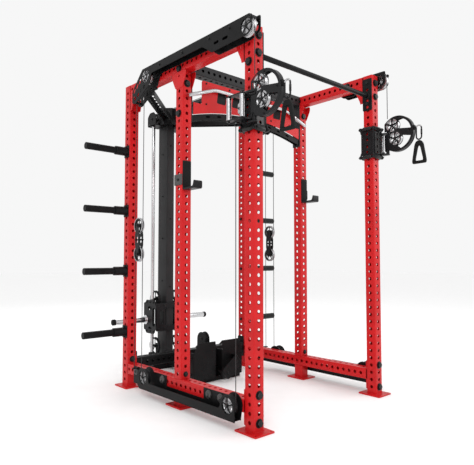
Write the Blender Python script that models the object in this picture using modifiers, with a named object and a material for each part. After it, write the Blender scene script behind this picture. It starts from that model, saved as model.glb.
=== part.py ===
"""Half-cage power rack with a cable system, built as separate named pieces.

Frame: metres, +Z up, -Y is the front that the user walks in from, origin on
the floor at the centre of the bounding box. Every place below is measured
from a datum on the floor: the middle of the rack in X, and the front faces
of the front uprights in Y.
"""
import math

import bmesh
import bpy
from mathutils import Matrix, Vector

INCH = 0.0254
GAP = 0.0003                      # clearance between pieces that touch

# Driving dimensions -------------------------------------------------------
DATUM_Y = -31.171 * INCH           # rack datum in the object's own frame
TUBE = 3.0 * INCH                 # square tube of the whole frame
WALL = 0.12 * INCH
HALF_TUBE = TUBE / 2
UPRIGHT_X = 23.35 * INCH          # centre line of the left and right uprights
ROWS = {"front": 1.5 * INCH, "mid": 28.5 * INCH, "rear": 55.5 * INCH}
HEIGHT = 90.4 * INCH
FOOT = Vector((5.9, 6.8, 0.375)) * INCH
PLATE = 0.25 * INCH               # bolted flange plates
BASE_BEAM_Z = 4.0 * INCH          # underside of the base beams
TOP_BEAM_Z = HEIGHT - TUBE
OUTER = UPRIGHT_X + HALF_TUBE     # outer faces of the uprights
INNER = UPRIGHT_X - HALF_TUBE     # inner faces of the uprights

CABLE_X = 26.4 * INCH             # plane of the side cables
CABLE_R = 0.1 * INCH
FRONT_CABLE_Y = -2.0 * INCH       # cable from the top pulley to the trolley
ANCHOR_Y = 4.2 * INCH             # cable from the base pulley to the trolley
REAR_CABLE_Y = 43.5 * INCH        # cable in front of the pulley block
PULLEY_R = 2.25 * INCH
PULLEY_CABLE_R = 1.97 * INCH      # radius of the cable's centre line
PULLEY_HUB = 1.4 * INCH           # length of the hub and axle
TOP_PULLEY_Z = 89.1 * INCH
BASE_PULLEY_Z = 5.4 * INCH
SMALL_PULLEY_R = 1.9 * INCH
SMALL_CABLE_R = 1.7 * INCH
SMALL_HUB = 1.06 * INCH
BIG_PULLEY_R = 2.95 * INCH
BIG_CABLE_R = 2.6 * INCH
PULLEY_WIDTH = 0.8 * INCH
GROOVE = 0.5 * INCH               # depth of the cable groove

TROLLEY_Z = (67.3 * INCH, 74.2 * INCH)
TROLLEY_CLEAR = 0.3 * INCH
TROLLEY_WALL = 0.2 * INCH
LUG_ZS = (67.4 * INCH, 73.35 * INCH)
LUG_HEIGHT = 0.45 * INCH
ROLLER_R = 0.56 * INCH
ROLLER_Z = (66.7 * INCH, 74.8 * INCH)
GRIP_X = 27.85 * INCH
GRIP_YS = (0.5 * INCH, 4.9 * INCH)
GRIP_Z = (68.75 * INCH, 73.88 * INCH)
PIN_YZ = (2.3 * INCH, 71.2 * INCH)

DISC_YZ = (-5.2 * INCH, 73.0 * INCH)   # centre of the swivel's guard
DISC_R = 5.05 * INCH
GUARD_HALF = 0.62 * INCH               # half of the guard's width
SWIVEL_PULLEYS = {"upper": (-3.7 * INCH, 75.6 * INCH), "lower": (-4.55 * INCH, 71.75 * INCH)}
HANDLE_PIVOT = (-11.55 * INCH, 73.85 * INCH)

BLOCK_Y = REAR_CABLE_Y + PULLEY_CABLE_R
RETURN_CABLE_Y = BLOCK_Y + PULLEY_CABLE_R   # cable behind the pulley block
UPPER_ANCHOR_Z = 82.8 * INCH
LOWER_ANCHOR_Z = 7.4 * INCH
BLOCK_ZS = (39.2 * INCH, 47.2 * INCH)

MAST_Y = (68.6 * INCH, 74.2 * INCH)
MAST_Z = (2.65 * INCH, 87.5 * INCH)
ROD_X = 5.1 * INCH
ROD_Y = 72.0 * INCH
ROD_R = 0.6 * INCH
HEAD_Z = (84.8 * INCH, 89.6 * INCH)
STACK_PULLEY_X = 3.8 * INCH
MAST_PULLEY_Z = 7.5 * INCH
CARRIAGE_Z = (12.0 * INCH, 23.5 * INCH)
CARRIAGE_PULLEY_Z = 23.7 * INCH
CARRIAGE_HALF_X = 6.3 * INCH
CARRIAGE_Y = (67.5 * INCH, 75.45 * INCH)
LOAD_PEG_YZ = (73.6 * INCH, 16.6 * INCH)
LOAD_PEG_TIP = 19.5 * INCH

LAT_PULLEY_YZ = (28.0 * INCH, 89.6 * INCH)
REAR_LAT_YZ = (71.4 * INCH, 89.6 * INCH)
LAT_BAR_Y = LAT_PULLEY_YZ[0] - SMALL_CABLE_R
LOW_PULLEY_YZ = (49.5 * INCH, 12.2 * INCH)

PEG_ZS = [z * INCH for z in (16.2, 34.2, 52.2, 70.2)]
PEG_TIP = 38.25 * INCH
JCUP_Z = (55.8 * INCH, 63.5 * INCH)
ARCH_TOP = 79.2 * INCH
ARCH_RISE = 3.0 * INCH
ARCH_DEPTH = 1.7 * INCH

BOLT_HEAD = 0.5 * INCH
BOLT_ZS = [z * INCH for z in (2.2, 8.2, 84.2, 88.2)]
SIDE_BOLT_ZS = {"front": [82.2 * INCH], "mid": [76.2 * INCH, 84.2 * INCH], "rear": []}

SIDES = {"left": -1, "right": 1}

# Materials ----------------------------------------------------------------
COLOURS = {
    "red_powder_coat": ((0.62, 0.012, 0.016, 1), 0.38, 0.0),
    "black_powder_coat": ((0.012, 0.012, 0.013, 1), 0.5, 0.0),
    "black_steel": ((0.02, 0.02, 0.022, 1), 0.35, 0.4),
    "bright_steel": ((0.75, 0.75, 0.76, 1), 0.22, 1.0),
    "silver_aluminium": ((0.6, 0.6, 0.61, 1), 0.3, 1.0),
    "black_nylon": ((0.02, 0.02, 0.02, 1), 0.45, 0.0),
    "rubber": ((0.01, 0.01, 0.01, 1), 0.7, 0.0),
    "coated_cable": ((0.03, 0.03, 0.03, 1), 0.4, 0.2),
}


def clear_scene():
    for old in list(bpy.data.objects):
        bpy.data.objects.remove(old, do_unlink=True)


def make_material(name):
    colour, roughness, metallic = COLOURS[name]
    material = bpy.data.materials.new(name)
    material.use_nodes = True
    shader = material.node_tree.nodes["Principled BSDF"]
    shader.inputs["Base Color"].default_value = colour
    shader.inputs["Roughness"].default_value = roughness
    shader.inputs["Metallic"].default_value = metallic
    return material


clear_scene()
PARTS = bpy.data.collections.new("power_rack")
CUTTERS = bpy.data.collections.new("cutters")
bpy.context.scene.collection.children.link(PARTS)
bpy.context.scene.collection.children.link(CUTTERS)
MATERIALS = {name: make_material(name) for name in COLOURS}
DATUM = bpy.data.objects.new("rack_datum", None)
DATUM.location = (0, DATUM_Y, 0)
PARTS.objects.link(DATUM)


# Shapes: each returns a mesh placed in datum coordinates --------------------
def box(low, high):
    """A box between two corners, given in any order."""
    low, high = Vector(map(min, low, high)), Vector(map(max, low, high))
    size = high - low
    place = Matrix.Translation((low + high) / 2) @ Matrix.Diagonal((*size, 1))
    work = bmesh.new()
    bmesh.ops.create_cube(work, size=1, matrix=place)
    return to_mesh(work)


def cylinder(start, end, radius, sides=12):
    """A straight round bar between two points."""
    start, end = Vector(start), Vector(end)
    along = end - start
    turn = along.to_track_quat("Z", "Y").to_matrix().to_4x4()
    place = Matrix.Translation((start + end) / 2) @ turn
    work = bmesh.new()
    bmesh.ops.create_cone(work, cap_ends=True, segments=sides, radius1=radius,
                          radius2=radius, depth=along.length, matrix=place)
    return to_mesh(work)


def x_rod(x0, x1, y, z, radius, sides=12):
    return cylinder((min(x0, x1), y, z), (max(x0, x1), y, z), radius, sides)


def z_rod(x, y, z0, z1, radius, sides=12):
    return cylinder((x, y, z0), (x, y, z1), radius, sides)


def to_mesh(work):
    mesh = bpy.data.meshes.new("shape")
    work.to_mesh(mesh)
    work.free()
    return mesh


def curve_mesh(curve):
    """The closed mesh of a curve: its caps are welded to its sides."""
    holder = bpy.data.objects.new("curve", curve)
    CUTTERS.objects.link(holder)
    bpy.context.view_layer.update()
    ready = holder.evaluated_get(bpy.context.evaluated_depsgraph_get())
    mesh = bpy.data.meshes.new_from_object(ready)
    bpy.data.objects.remove(holder)
    bpy.data.curves.remove(curve)
    work = bmesh.new()
    work.from_mesh(mesh)
    bmesh.ops.remove_doubles(work, verts=work.verts, dist=1e-6)
    bmesh.ops.recalc_face_normals(work, faces=work.faces)
    work.to_mesh(mesh)
    work.free()
    return mesh


def plate(loops, axes, start, end):
    """A flat outline, with holes, filled and extruded from start to end.

    axes names the two in-plane axes, such as "yz"; the outline is given in
    that order and the plate's thickness runs along the third axis.
    """
    curve = bpy.data.curves.new("outline", "CURVE")
    curve.dimensions = "2D"
    curve.fill_mode = "BOTH"
    curve.extrude = abs(end - start) / 2
    for loop in loops:
        spline = curve.splines.new("POLY")
        spline.points.add(len(loop) - 1)
        spline.use_cyclic_u = True
        for point, (u, v) in zip(spline.points, loop):
            point.co = (u, v, 0, 1)
    mesh = curve_mesh(curve)
    columns = ["xyz".index(a) for a in axes]
    columns.append(3 - sum(columns))
    turn = Matrix.Identity(4)
    for i, column in enumerate(columns):
        for row in range(3):
            turn[row][i] = 1.0 if row == column else 0.0
    shift = Vector((0, 0, 0))
    shift[columns[2]] = (start + end) / 2
    mesh.transform(Matrix.Translation(shift) @ turn)
    if turn.to_3x3().determinant() < 0:
        mesh.flip_normals()
    return mesh


def tube(points, radius, cyclic=False, resolution=2):
    """A round tube along a list of points."""
    curve = bpy.data.curves.new("path", "CURVE")
    curve.dimensions = "3D"
    curve.bevel_depth = radius
    curve.bevel_resolution = resolution
    curve.use_fill_caps = not cyclic
    spline = curve.splines.new("POLY")
    spline.points.add(len(points) - 1)
    spline.use_cyclic_u = cyclic
    for point, place in zip(spline.points, points):
        point.co = (*place, 1)
    return curve_mesh(curve)


def arc(centre, radius, start, stop, steps):
    """Points on an arc, angles in degrees, ends included."""
    angles = [math.radians(start + (stop - start) * i / steps) for i in range(steps + 1)]
    return [(centre[0] + radius * math.cos(a), centre[1] + radius * math.sin(a)) for a in angles]


def circle(centre, radius, sides):
    return arc(centre, radius, 0, 360 * (sides - 1) / sides, sides - 1)


def ring(x, y, z0, z1, outer, inner, sides=12):
    """A vertical tube around the line x, y."""
    return plate([circle((x, y), outer, sides), circle((x, y), inner, sides)], "xy", z0, z1)


# Objects ------------------------------------------------------------------
def place_object(name, mesh, colour, origin, collection):
    mesh.transform(Matrix.Translation(-Vector(origin)))
    item = bpy.data.objects.new(name, mesh)
    item.location = origin
    item.parent = DATUM
    if colour:
        mesh.materials.clear()
        mesh.materials.append(MATERIALS[colour])
    collection.objects.link(item)
    return item


def boolean(item, operation, meshes):
    """Join or cut an object with a group of shapes kept as cutters."""
    group = bpy.data.collections.new(f"{item.name}_{operation.lower()}")
    CUTTERS.children.link(group)
    for number, mesh in enumerate(meshes):
        tool = place_object(f"{group.name}_{number}", mesh, None, (0, 0, 0), group)
        tool.hide_render = True
        tool.display_type = "WIRE"
    change = item.modifiers.new(operation.lower(), "BOOLEAN")
    change.operation = operation
    change.solver = "EXACT"
    change.operand_type = "COLLECTION"
    change.collection = group


def smooth(item, angle=35):
    item.data.shade_smooth()
    item.data.set_sharp_from_angle(angle=math.radians(angle))


def solid(name, colour, shapes, cuts=(), origin=(0, 0, 0), round_piece=False):
    """One welded piece: the shapes are united, then the cuts are taken out."""
    item = place_object(name, shapes[0], colour, origin, PARTS)
    if len(shapes) > 1:
        boolean(item, "UNION", shapes[1:])
    if cuts:
        boolean(item, "DIFFERENCE", cuts)
    if round_piece:
        smooth(item)
    return item


def turned_pulley(radius, width, hub, groove=GROOVE, steps=18):
    """A grooved wheel with its axle stubs, turned about X, centred on the origin."""
    hub_r = 0.45 * INCH
    profile = [(0, hub / 2), (hub_r, hub / 2), (hub_r, width / 2), (radius, width / 2),
               (radius - groove, 0), (radius, -width / 2), (hub_r, -width / 2),
               (hub_r, -hub / 2), (0, -hub / 2)]
    work = bmesh.new()
    verts = [work.verts.new((r, 0, z)) for r, z in profile]
    for a, b in zip(verts, verts[1:]):
        work.edges.new((a, b))
    wheel = bpy.data.objects.new("wheel", to_mesh(work))
    CUTTERS.objects.link(wheel)
    screw = wheel.modifiers.new("turn", "SCREW")
    screw.axis = "Z"
    screw.steps = screw.render_steps = steps
    screw.use_merge_vertices = True
    screw.merge_threshold = 1e-5
    bpy.context.view_layer.update()
    ready = wheel.evaluated_get(bpy.context.evaluated_depsgraph_get())
    mesh = bpy.data.meshes.new_from_object(ready)
    bpy.data.objects.remove(wheel)
    mesh.transform(Matrix.Rotation(math.radians(90), 4, "Y"))
    return mesh


def placed_pulley(x, yz, radius=PULLEY_R, hub=PULLEY_HUB):
    mesh = turned_pulley(radius, PULLEY_WIDTH, hub)
    mesh.transform(Matrix.Translation((x, *yz)))
    return mesh


def pulley(name, x, yz, radius=PULLEY_R, hub=PULLEY_HUB):
    """A wheel that turns: its origin is on its axle."""
    return solid(name, "black_nylon", [placed_pulley(x, yz, radius, hub)], (), (x, *yz), True)


def beam(axis, a, b, across, bottom, flange_z, gusset=False):
    """Shapes and bore of a square tube with a flange plate at each end."""
    low = [across - HALF_TUBE, across - HALF_TUBE, bottom]
    high = [across + HALF_TUBE, across + HALF_TUBE, bottom + TUBE]
    low[axis], high[axis] = a, b
    shapes = [box(low, high)]
    bore_low = [v + WALL for v in low]
    bore_high = [v - WALL for v in high]
    bore_low[axis], bore_high[axis] = a - PLATE, b + PLATE
    for face, inward in ((a, 1), (b, -1)):
        p_low, p_high = list(low), list(high)
        p_low[axis], p_high[axis] = face, face + inward * PLATE
        p_low[2], p_high[2] = flange_z
        shapes.append(box(p_low, p_high))
        if gusset:
            shapes += gusset_pair(face, inward, across, flange_z[0])
    return shapes, box(bore_low, bore_high)


def gusset_pair(face, inward, across, bottom):
    """Two rounded ears below a beam, flush with its sides."""
    reach, drop = 3.2 * INCH, TOP_BEAM_Z - bottom
    outline = [(face + inward * WALL, TOP_BEAM_Z + WALL), (face + inward * reach, TOP_BEAM_Z + WALL)]
    for step in range(6):
        turn = math.radians(90 * step / 5)
        outline.append((face + inward * reach * (0.32 + 0.62 * math.cos(turn) ** 1.5),
                        TOP_BEAM_Z - drop * (0.35 * math.sin(turn) + 0.65 * (1 - math.cos(turn)))))
    outline.append((face + inward * WALL, bottom))
    ears = []
    for side in (-1, 1):
        skin = across + side * HALF_TUBE
        ears.append(plate([outline], "yz", skin, skin - side * 0.2 * INCH))
    return ears


# Frame --------------------------------------------------------------------
def bolt_head(centre, axis, direction, radius=0.8 * INCH):
    """Round head that stands on a face and reaches a little into it."""
    start, end = Vector(centre), Vector(centre)
    start[axis] -= direction * WALL / 2
    end[axis] += direction * BOLT_HEAD
    return cylinder(start, end, radius, 10)


def build_uprights():
    """Outer posts run full height; the mid posts stand between the base and top rails."""
    for side, sign in SIDES.items():
        for row, y in ROWS.items():
            x = sign * UPRIGHT_X
            outer_row = row != "mid"
            z0 = FOOT.z / 2 if outer_row else BASE_BEAM_Z + TUBE + GAP
            z1 = HEIGHT if outer_row else TOP_BEAM_Z - GAP
            shapes = [box((x - HALF_TUBE, y - HALF_TUBE, z0), (x + HALF_TUBE, y + HALF_TUBE, z1))]
            if outer_row:
                shapes.append(box((x - FOOT.x / 2, y - FOOT.y / 2, 0),
                                  (x + FOOT.x / 2, y + FOOT.y / 2, FOOT.z)))
            cuts = [box((x - HALF_TUBE + WALL, y - HALF_TUBE + WALL, FOOT.z),
                        (x + HALF_TUBE - WALL, y + HALF_TUBE - WALL, HEIGHT + WALL))]
            facing = {"front": -1, "rear": 1}.get(row)
            if facing:
                for z in BOLT_ZS:
                    shapes.append(bolt_head((x, y + facing * HALF_TUBE, z), 1, facing))
            for z in SIDE_BOLT_ZS[row]:
                shapes.append(bolt_head((x + sign * HALF_TUBE, y, z), 0, sign))
            if row == "rear":
                shapes += storage_pegs(sign)
                cuts += [x_rod(x, sign * (PEG_TIP - PLATE), y, z, 0.82 * INCH, 14) for z in PEG_ZS]
            solid(f"upright_{row}_{side}", "red_powder_coat", shapes, cuts)


def storage_pegs(sign):
    """Four plate pegs that stand out from a rear post."""
    y, root = ROWS["rear"], sign * (OUTER - WALL / 2)
    pegs = []
    for z in PEG_ZS:
        pegs.append(x_rod(root, sign * 28.9 * INCH, y, z, 1.3 * INCH, 14))
        pegs.append(x_rod(sign * 28.5 * INCH, sign * PEG_TIP, y, z, 1.0 * INCH, 14))
    return pegs


def build_rails():
    """Red side rails: the top pair over the mid posts, the base pair under them."""
    start = ROWS["front"] + HALF_TUBE + GAP
    end = ROWS["rear"] - HALF_TUBE - GAP
    for side, sign in SIDES.items():
        x = sign * UPRIGHT_X
        shapes, bore = beam(1, start, end, x, TOP_BEAM_Z, (82.6 * INCH, HEIGHT), True)
        solid(f"{side}_top_rail", "red_powder_coat", shapes, [bore])
        shapes, bore = beam(1, start, end, x, BASE_BEAM_Z, (1.4 * INCH, 9.2 * INCH))
        y = ROWS["mid"]
        shapes.append(box((x - HALF_TUBE, y - HALF_TUBE, FOOT.z / 2),
                          (x + HALF_TUBE, y + HALF_TUBE, BASE_BEAM_Z + WALL / 2)))
        shapes.append(box((x - FOOT.x / 2, y - FOOT.y / 2, 0), (x + FOOT.x / 2, y + FOOT.y / 2, FOOT.z)))
        solid(f"{side}_base_rail", "red_powder_coat", shapes, [bore])


def cross_tube(y, bottom, flange_z):
    """A tube between the left and right uprights, with its end plates and bore."""
    half = INNER - GAP
    shapes, bore = beam(0, -half, half, y, bottom, flange_z)
    return shapes, bore


def build_crossmembers():
    """Top crossmember with the arched bar below it on the same end plates."""
    y = ROWS["mid"]
    shapes, bore = cross_tube(y, TOP_BEAM_Z, (74.0 * INCH, HEIGHT))
    half = INNER - GAP
    steps = 12
    xs = [-half + 2 * half * i / steps for i in range(steps + 1)]
    top = [(x, arch_z(x)) for x in xs]
    under = [(x, z - ARCH_DEPTH) for x, z in reversed(top)]
    shapes.append(plate([top + under], "xz", 27.35 * INCH, 28.75 * INCH))
    slot_x = 0.6 * INCH
    slot = box((-slot_x, y - TUBE, 87.8 * INCH), (slot_x, y + TUBE, HEIGHT + TUBE))
    solid("top_crossmember", "black_powder_coat", shapes, [bore, slot])
    pulley("front_lat_pulley", 0, LAT_PULLEY_YZ, SMALL_PULLEY_R, SMALL_HUB)
    shapes, bore = cross_tube(ROWS["rear"], 5.2 * INCH, (3.2 * INCH, 10.2 * INCH))
    solid("rear_base_crossmember", "black_powder_coat", shapes, [bore])


def arch_z(x):
    return ARCH_TOP - ARCH_RISE * (x / (21.4 * INCH)) ** 2


def build_sign():
    """Flat panel between the mid posts; its lower edge follows the arched bar."""
    wide, narrow = 21.2 * INCH, 18.35 * INCH
    shoulder, crown = 79.7 * INCH, 86.3 * INCH
    lift = 0.08 * INCH
    steps = 12
    xs = [-wide + 2 * wide * i / steps for i in range(steps + 1)]
    outline = [(x, arch_z(x) + lift) for x in xs]
    outline += [(wide, shoulder), (narrow, shoulder), (narrow, crown),
                (-narrow, crown), (-narrow, shoulder), (-wide, shoulder)]
    solid("sign_panel", "red_powder_coat", [plate([outline], "xz", 27.08 * INCH, 27.2 * INCH)])


def build_pull_up_bar():
    half = INNER - GAP
    y, z = ROWS["front"], 84.4 * INCH
    bar = x_rod(-half + PLATE / 2, half - PLATE / 2, y, z, 0.65 * INCH, 16)
    ends = [box((s * half, y - HALF_TUBE, 80.2 * INCH), (s * (half - PLATE), y + HALF_TUBE, 89.4 * INCH))
            for s in (-1, 1)]
    solid("pull_up_bar", "black_powder_coat", [bar] + ends)


# Cable station behind the rack --------------------------------------------
def build_mast():
    low = (-HALF_TUBE, MAST_Y[0], MAST_Z[0])
    high = (HALF_TUBE, MAST_Y[1], MAST_Z[1])
    bore = box((low[0] + WALL, low[1] + WALL, low[2] - TUBE), (high[0] - WALL, high[1] - WALL, high[2] + TUBE))
    solid("mast", "black_powder_coat", [box(low, high)], [bore])
    for side, s in SIDES.items():
        rod = z_rod(s * ROD_X, ROD_Y, MAST_Z[0], HEAD_Z[0] - GAP, ROD_R, 14)
        solid(f"{side}_guide_rod", "bright_steel", [rod], round_piece=True)


def build_mast_head():
    """Block over the mast that holds the rods, the rear lat pulley and the roof arms."""
    front = 68.3 * INCH
    clear = 0.03 * INCH
    block = box((-6.6 * INCH, front, HEAD_Z[0]), (6.6 * INCH, 74.8 * INCH, HEAD_Z[1]))
    nose_outline = [(-4.6 * INCH, 68.5 * INCH), (-4.6 * INCH, 66.3 * INCH), (-2.6 * INCH, 64.3 * INCH),
                    (2.6 * INCH, 64.3 * INCH), (4.6 * INCH, 66.3 * INCH), (4.6 * INCH, 68.5 * INCH)]
    nose = plate([nose_outline], "xy", HEAD_Z[0] - 0.2 * INCH, HEIGHT)
    hole = box((-HALF_TUBE - clear, MAST_Y[0] - clear, HEAD_Z[0] - TUBE),
               (HALF_TUBE + clear, MAST_Y[1] + clear, HEAD_Z[1] + TUBE))
    relief = []
    for s in (-1, 1):
        relief.append(box((s * 1.9 * INCH, 68.8 * INCH, HEAD_Z[0] + PLATE), (s * 6.3 * INCH, 74.5 * INCH, HEIGHT)))
        relief.append(box((s * 1.3 * INCH, 65.3 * INCH, 84.0 * INCH), (s * 2.5 * INCH, 68.0 * INCH, 90.1 * INCH)))
        relief.append(box((s * 2.7 * INCH, 66.9 * INCH, 84.0 * INCH), (s * 4.3 * INCH, 68.0 * INCH, 90.1 * INCH)))
    bore = box((-1.0 * INCH, 63.0 * INCH, 87.6 * INCH), (1.0 * INCH, 69.0 * INCH, 90.1 * INCH))
    wheel = placed_pulley(0, REAR_LAT_YZ, SMALL_PULLEY_R, 3.2 * INCH)
    item = solid("mast_head", "black_powder_coat", [block, nose], [hole, bore] + relief)
    boolean(item, "UNION", [wheel])


def build_lat_boom():
    """Square tube from the mast head forward to the top crossmember."""
    start = ROWS["mid"] + HALF_TUBE + GAP
    end = 64.3 * INCH - GAP
    shapes = [box((-HALF_TUBE, start, TOP_BEAM_Z), (HALF_TUBE, end, HEIGHT)),
              box((-3.2 * INCH, start, TOP_BEAM_Z), (3.2 * INCH, start + PLATE, HEIGHT))]
    bore = box((-HALF_TUBE + WALL, start - TUBE, TOP_BEAM_Z + WALL),
               (HALF_TUBE - WALL, end + TUBE, HEIGHT - WALL))
    solid("lat_boom", "black_powder_coat", shapes, [bore])


def build_rear_arms():
    """Slotted channels at 45 degrees from the side beams to the mast head."""
    start, end = Vector((-23.0, 45.9, 0)) * INCH, Vector((-3.6, 65.3, 0)) * INCH
    length = (end - start).length - GAP
    width, depth, skin = 1.35 * INCH, 2.1 * INCH, 0.16 * INCH
    top = TOP_BEAM_Z - PLATE - 2 * GAP
    profile = [(-width, -depth), (-width + skin, -depth), (-width + skin, -skin),
               (width - skin, -skin), (width - skin, -depth), (width, -depth),
               (width, 0), (-width, 0)]
    for side, sign in SIDES.items():
        turn = Matrix.Rotation(math.radians(45), 4, "Z")
        mirror = Matrix.Diagonal((-sign, 1, 1, 1))
        place = Matrix.Translation((0, 0, top + PLATE / 2)) @ mirror @ Matrix.Translation(start) @ turn
        channel = plate([profile], "yz", 0, length)
        pad = box((-24.85 * INCH, 43.2 * INCH, top), (-21.85 * INCH, 49.0 * INCH, top + PLATE))
        pad.transform(mirror)
        slots = []
        for i in range(7):
            x = length * (i + 1.6) / 9
            slots.append(box((x, -0.45 * INCH, -1.0 * INCH), (x + 1.5 * INCH, 0.45 * INCH, 1.0 * INCH)))
        for mesh in [channel] + slots:
            mesh.transform(place)
        if sign > 0:
            for mesh in [channel, pad] + slots:
                mesh.flip_normals()
        solid(f"{side}_rear_arm", "black_powder_coat", [channel, pad], slots)


def build_base_spine():
    """Floor tube under the mast that reaches forward to the low pulley."""
    spine = box((-HALF_TUBE, 43.5 * INCH, 1.0 * INCH), (HALF_TUBE, 68.5 * INCH, 4.0 * INCH))
    foot = box((-7.0 * INCH, 68.0 * INCH, 0), (7.0 * INCH, 76.0 * INCH, 2.6 * INCH))
    front_foot = box((-10.0 * INCH, 43.0 * INCH, 0), (10.0 * INCH, 45.5 * INCH, 1.3 * INCH))
    y, z = LOW_PULLEY_YZ
    cheeks = []
    for s in (-1, 1):
        rim = [(y + 2.6 * INCH, 1.5 * INCH), (y - 2.9 * INCH, 1.5 * INCH)]
        dome = arc((y, z), 2.15 * INCH, 180, 0, 8)
        cheeks.append(plate([rim[:1] + list(reversed(dome)) + rim[1:]], "yz",
                            s * 0.62 * INCH, s * 0.85 * INCH))
    wheel = placed_pulley(0, LOW_PULLEY_YZ, SMALL_PULLEY_R, 1.4 * INCH)
    axle_posts = [box((s * 3.05 * INCH, 71.2 * INCH, 2.0 * INCH), (s * 2.8 * INCH, 72.8 * INCH, 8.3 * INCH))
                  for s in (-1, 1)]
    shapes = [spine, foot, front_foot, wheel] + cheeks + axle_posts + foot_plates()
    skin = 0.2 * INCH
    hollow = [box((-HALF_TUBE + skin, 42.5 * INCH, 1.2 * INCH), (HALF_TUBE - skin, 68.0 * INCH, 3.8 * INCH)),
              box((-7.0 * INCH + skin, 68.0 * INCH + skin, -TUBE), (7.0 * INCH - skin, 76.0 * INCH - skin, 2.4 * INCH))]
    solid("base_spine", "black_powder_coat", shapes, hollow)


def foot_plates():
    """Two upright foot plates on ribs, in front of the low pulley."""
    plates = []
    for s in (-1, 1):
        near, far = s * 1.35 * INCH, s * 9.55 * INCH
        leaf = box((near, 41.6 * INCH, 1.35 * INCH), (far, 41.8 * INCH, 12.4 * INCH))
        lip = box((near, 41.6 * INCH, 12.2 * INCH), (far, 43.2 * INCH, 12.4 * INCH))
        side = box((far, 41.6 * INCH, 1.35 * INCH), (far - s * 0.2 * INCH, 43.2 * INCH, 12.4 * INCH))
        rib = box((s * 5.0 * INCH, 41.7 * INCH, 1.0 * INCH), (s * 5.2 * INCH, 45.3 * INCH, 7.0 * INCH))
        plates += [leaf, lip, side, rib]
    return plates


def build_j_cups():
    """Bar hooks on the front faces of the mid posts, strapped round the outer side."""
    front = ROWS["mid"] - HALF_TUBE - GAP
    low, high = JCUP_Z
    for side, sign in SIDES.items():
        x0, x1, strap = sign * 22.1 * INCH, sign * 24.7 * INCH, sign * 25.1 * INCH
        solid(f"{side}_j_cup", "black_powder_coat", [
            box((x0, front, low), (x1, front - 0.3 * INCH, high)),
            box((x0, front - 0.1 * INCH, low), (x1, front - 5.1 * INCH, low + 0.5 * INCH)),
            box((x0, front - 4.8 * INCH, low + 0.1 * INCH), (x1, front - 5.1 * INCH, low + 2.1 * INCH)),
            box((sign * 24.5 * INCH, front - 0.02 * INCH, 57.0 * INCH),
                (strap, front - 0.28 * INCH, 60.0 * INCH)),
            box((sign * (OUTER + GAP), front - 0.2 * INCH, 57.02 * INCH), (strap, 30.2 * INCH, 59.98 * INCH))])


# Side channels --------------------------------------------------------------
def build_channels():
    inner, back = 24.86 * INCH, 25.05 * INCH
    outer, skin = 27.3 * INCH, 27.15 * INCH
    for side, s in SIDES.items():
        y0, y1 = -2.4 * INCH, 44.4 * INCH
        top, thin, deep = 91.55 * INCH, 89.3 * INCH, 86.8 * INCH
        back_plate = [(y0, top), (y0, 88.0 * INCH), (0.5 * INCH, deep), (12.0 * INCH, deep),
                      (14.0 * INCH, 88.3 * INCH), (15.6 * INCH, thin), (37.0 * INCH, thin),
                      (38.0 * INCH, 85.8 * INCH), (48.2 * INCH, 82.0 * INCH), (49.2 * INCH, 83.0 * INCH),
                      (48.4 * INCH, 89.0 * INCH), (y1 + 2.4 * INCH, top)]
        cover = [(3.4 * INCH, top), (3.4 * INCH, deep), (12.0 * INCH, deep), (14.0 * INCH, 88.3 * INCH),
                 (15.6 * INCH, thin), (y1, thin), (y1, top)]
        solid(f"{side}_top_channel", "black_powder_coat", [
            plate([back_plate], "yz", s * inner, s * back),
            plate([cover], "yz", s * skin, s * outer),
            box((s * inner, y0, top - 0.15 * INCH), (s * outer, y1, top)),
            box((s * inner, RETURN_CABLE_Y - 0.5 * INCH, UPPER_ANCHOR_Z),
                (s * 26.9 * INCH, RETURN_CABLE_Y + 0.5 * INCH, UPPER_ANCHOR_Z + 0.4 * INCH)),
            placed_pulley(s * CABLE_X, (REAR_CABLE_Y - PULLEY_CABLE_R, TOP_PULLEY_Z), hub=2.6 * INCH)])
        low, high, tab = 2.2 * INCH, 4.3 * INCH, 7.0 * INCH
        y_front, y_rear = 6.1 * INCH, REAR_CABLE_Y - PULLEY_CABLE_R
        outline = [(1.2 * INCH, low), (50.0 * INCH, low), (50.0 * INCH, tab), (46.0 * INCH, tab)]
        outline += arc((y_rear, BASE_PULLEY_Z), 2.6 * INCH, 35, 145, 6)
        outline += [(38.0 * INCH, tab), (33.2 * INCH, tab), (33.2 * INCH, high), (17.4 * INCH, high),
                    (17.4 * INCH, tab), (9.0 * INCH, tab)]
        outline += arc((y_front, BASE_PULLEY_Z), 2.6 * INCH, 40, 180, 6)
        solid(f"{side}_base_channel", "black_powder_coat", [
            plate([outline], "yz", s * inner, s * back),
            box((s * inner, RETURN_CABLE_Y - 0.5 * INCH, LOWER_ANCHOR_Z - 0.7 * INCH),
                (s * 26.9 * INCH, RETURN_CABLE_Y + 0.5 * INCH, LOWER_ANCHOR_Z - 0.4 * INCH)),
            box((s * skin, 1.2 * INCH, low), (s * outer, 48.0 * INCH, high)),
            box((s * inner, 1.2 * INCH, low), (s * outer, 48.0 * INCH, low + 0.15 * INCH))])


def build_channel_pulleys():
    rear_y = REAR_CABLE_Y - PULLEY_CABLE_R
    for side, s in SIDES.items():
        x = s * CABLE_X
        pulley(f"{side}_front_top_pulley", x, (FRONT_CABLE_Y + PULLEY_CABLE_R, TOP_PULLEY_Z))
        pulley(f"{side}_front_base_pulley", x, (ANCHOR_Y + PULLEY_CABLE_R, BASE_PULLEY_Z))
        pulley(f"{side}_rear_base_pulley", x, (rear_y, BASE_PULLEY_Z))
        pulley(f"{side}_mast_pulley", s * STACK_PULLEY_X, (ROD_Y, MAST_PULLEY_Z), BIG_PULLEY_R, 1.15 * INCH)


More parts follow.
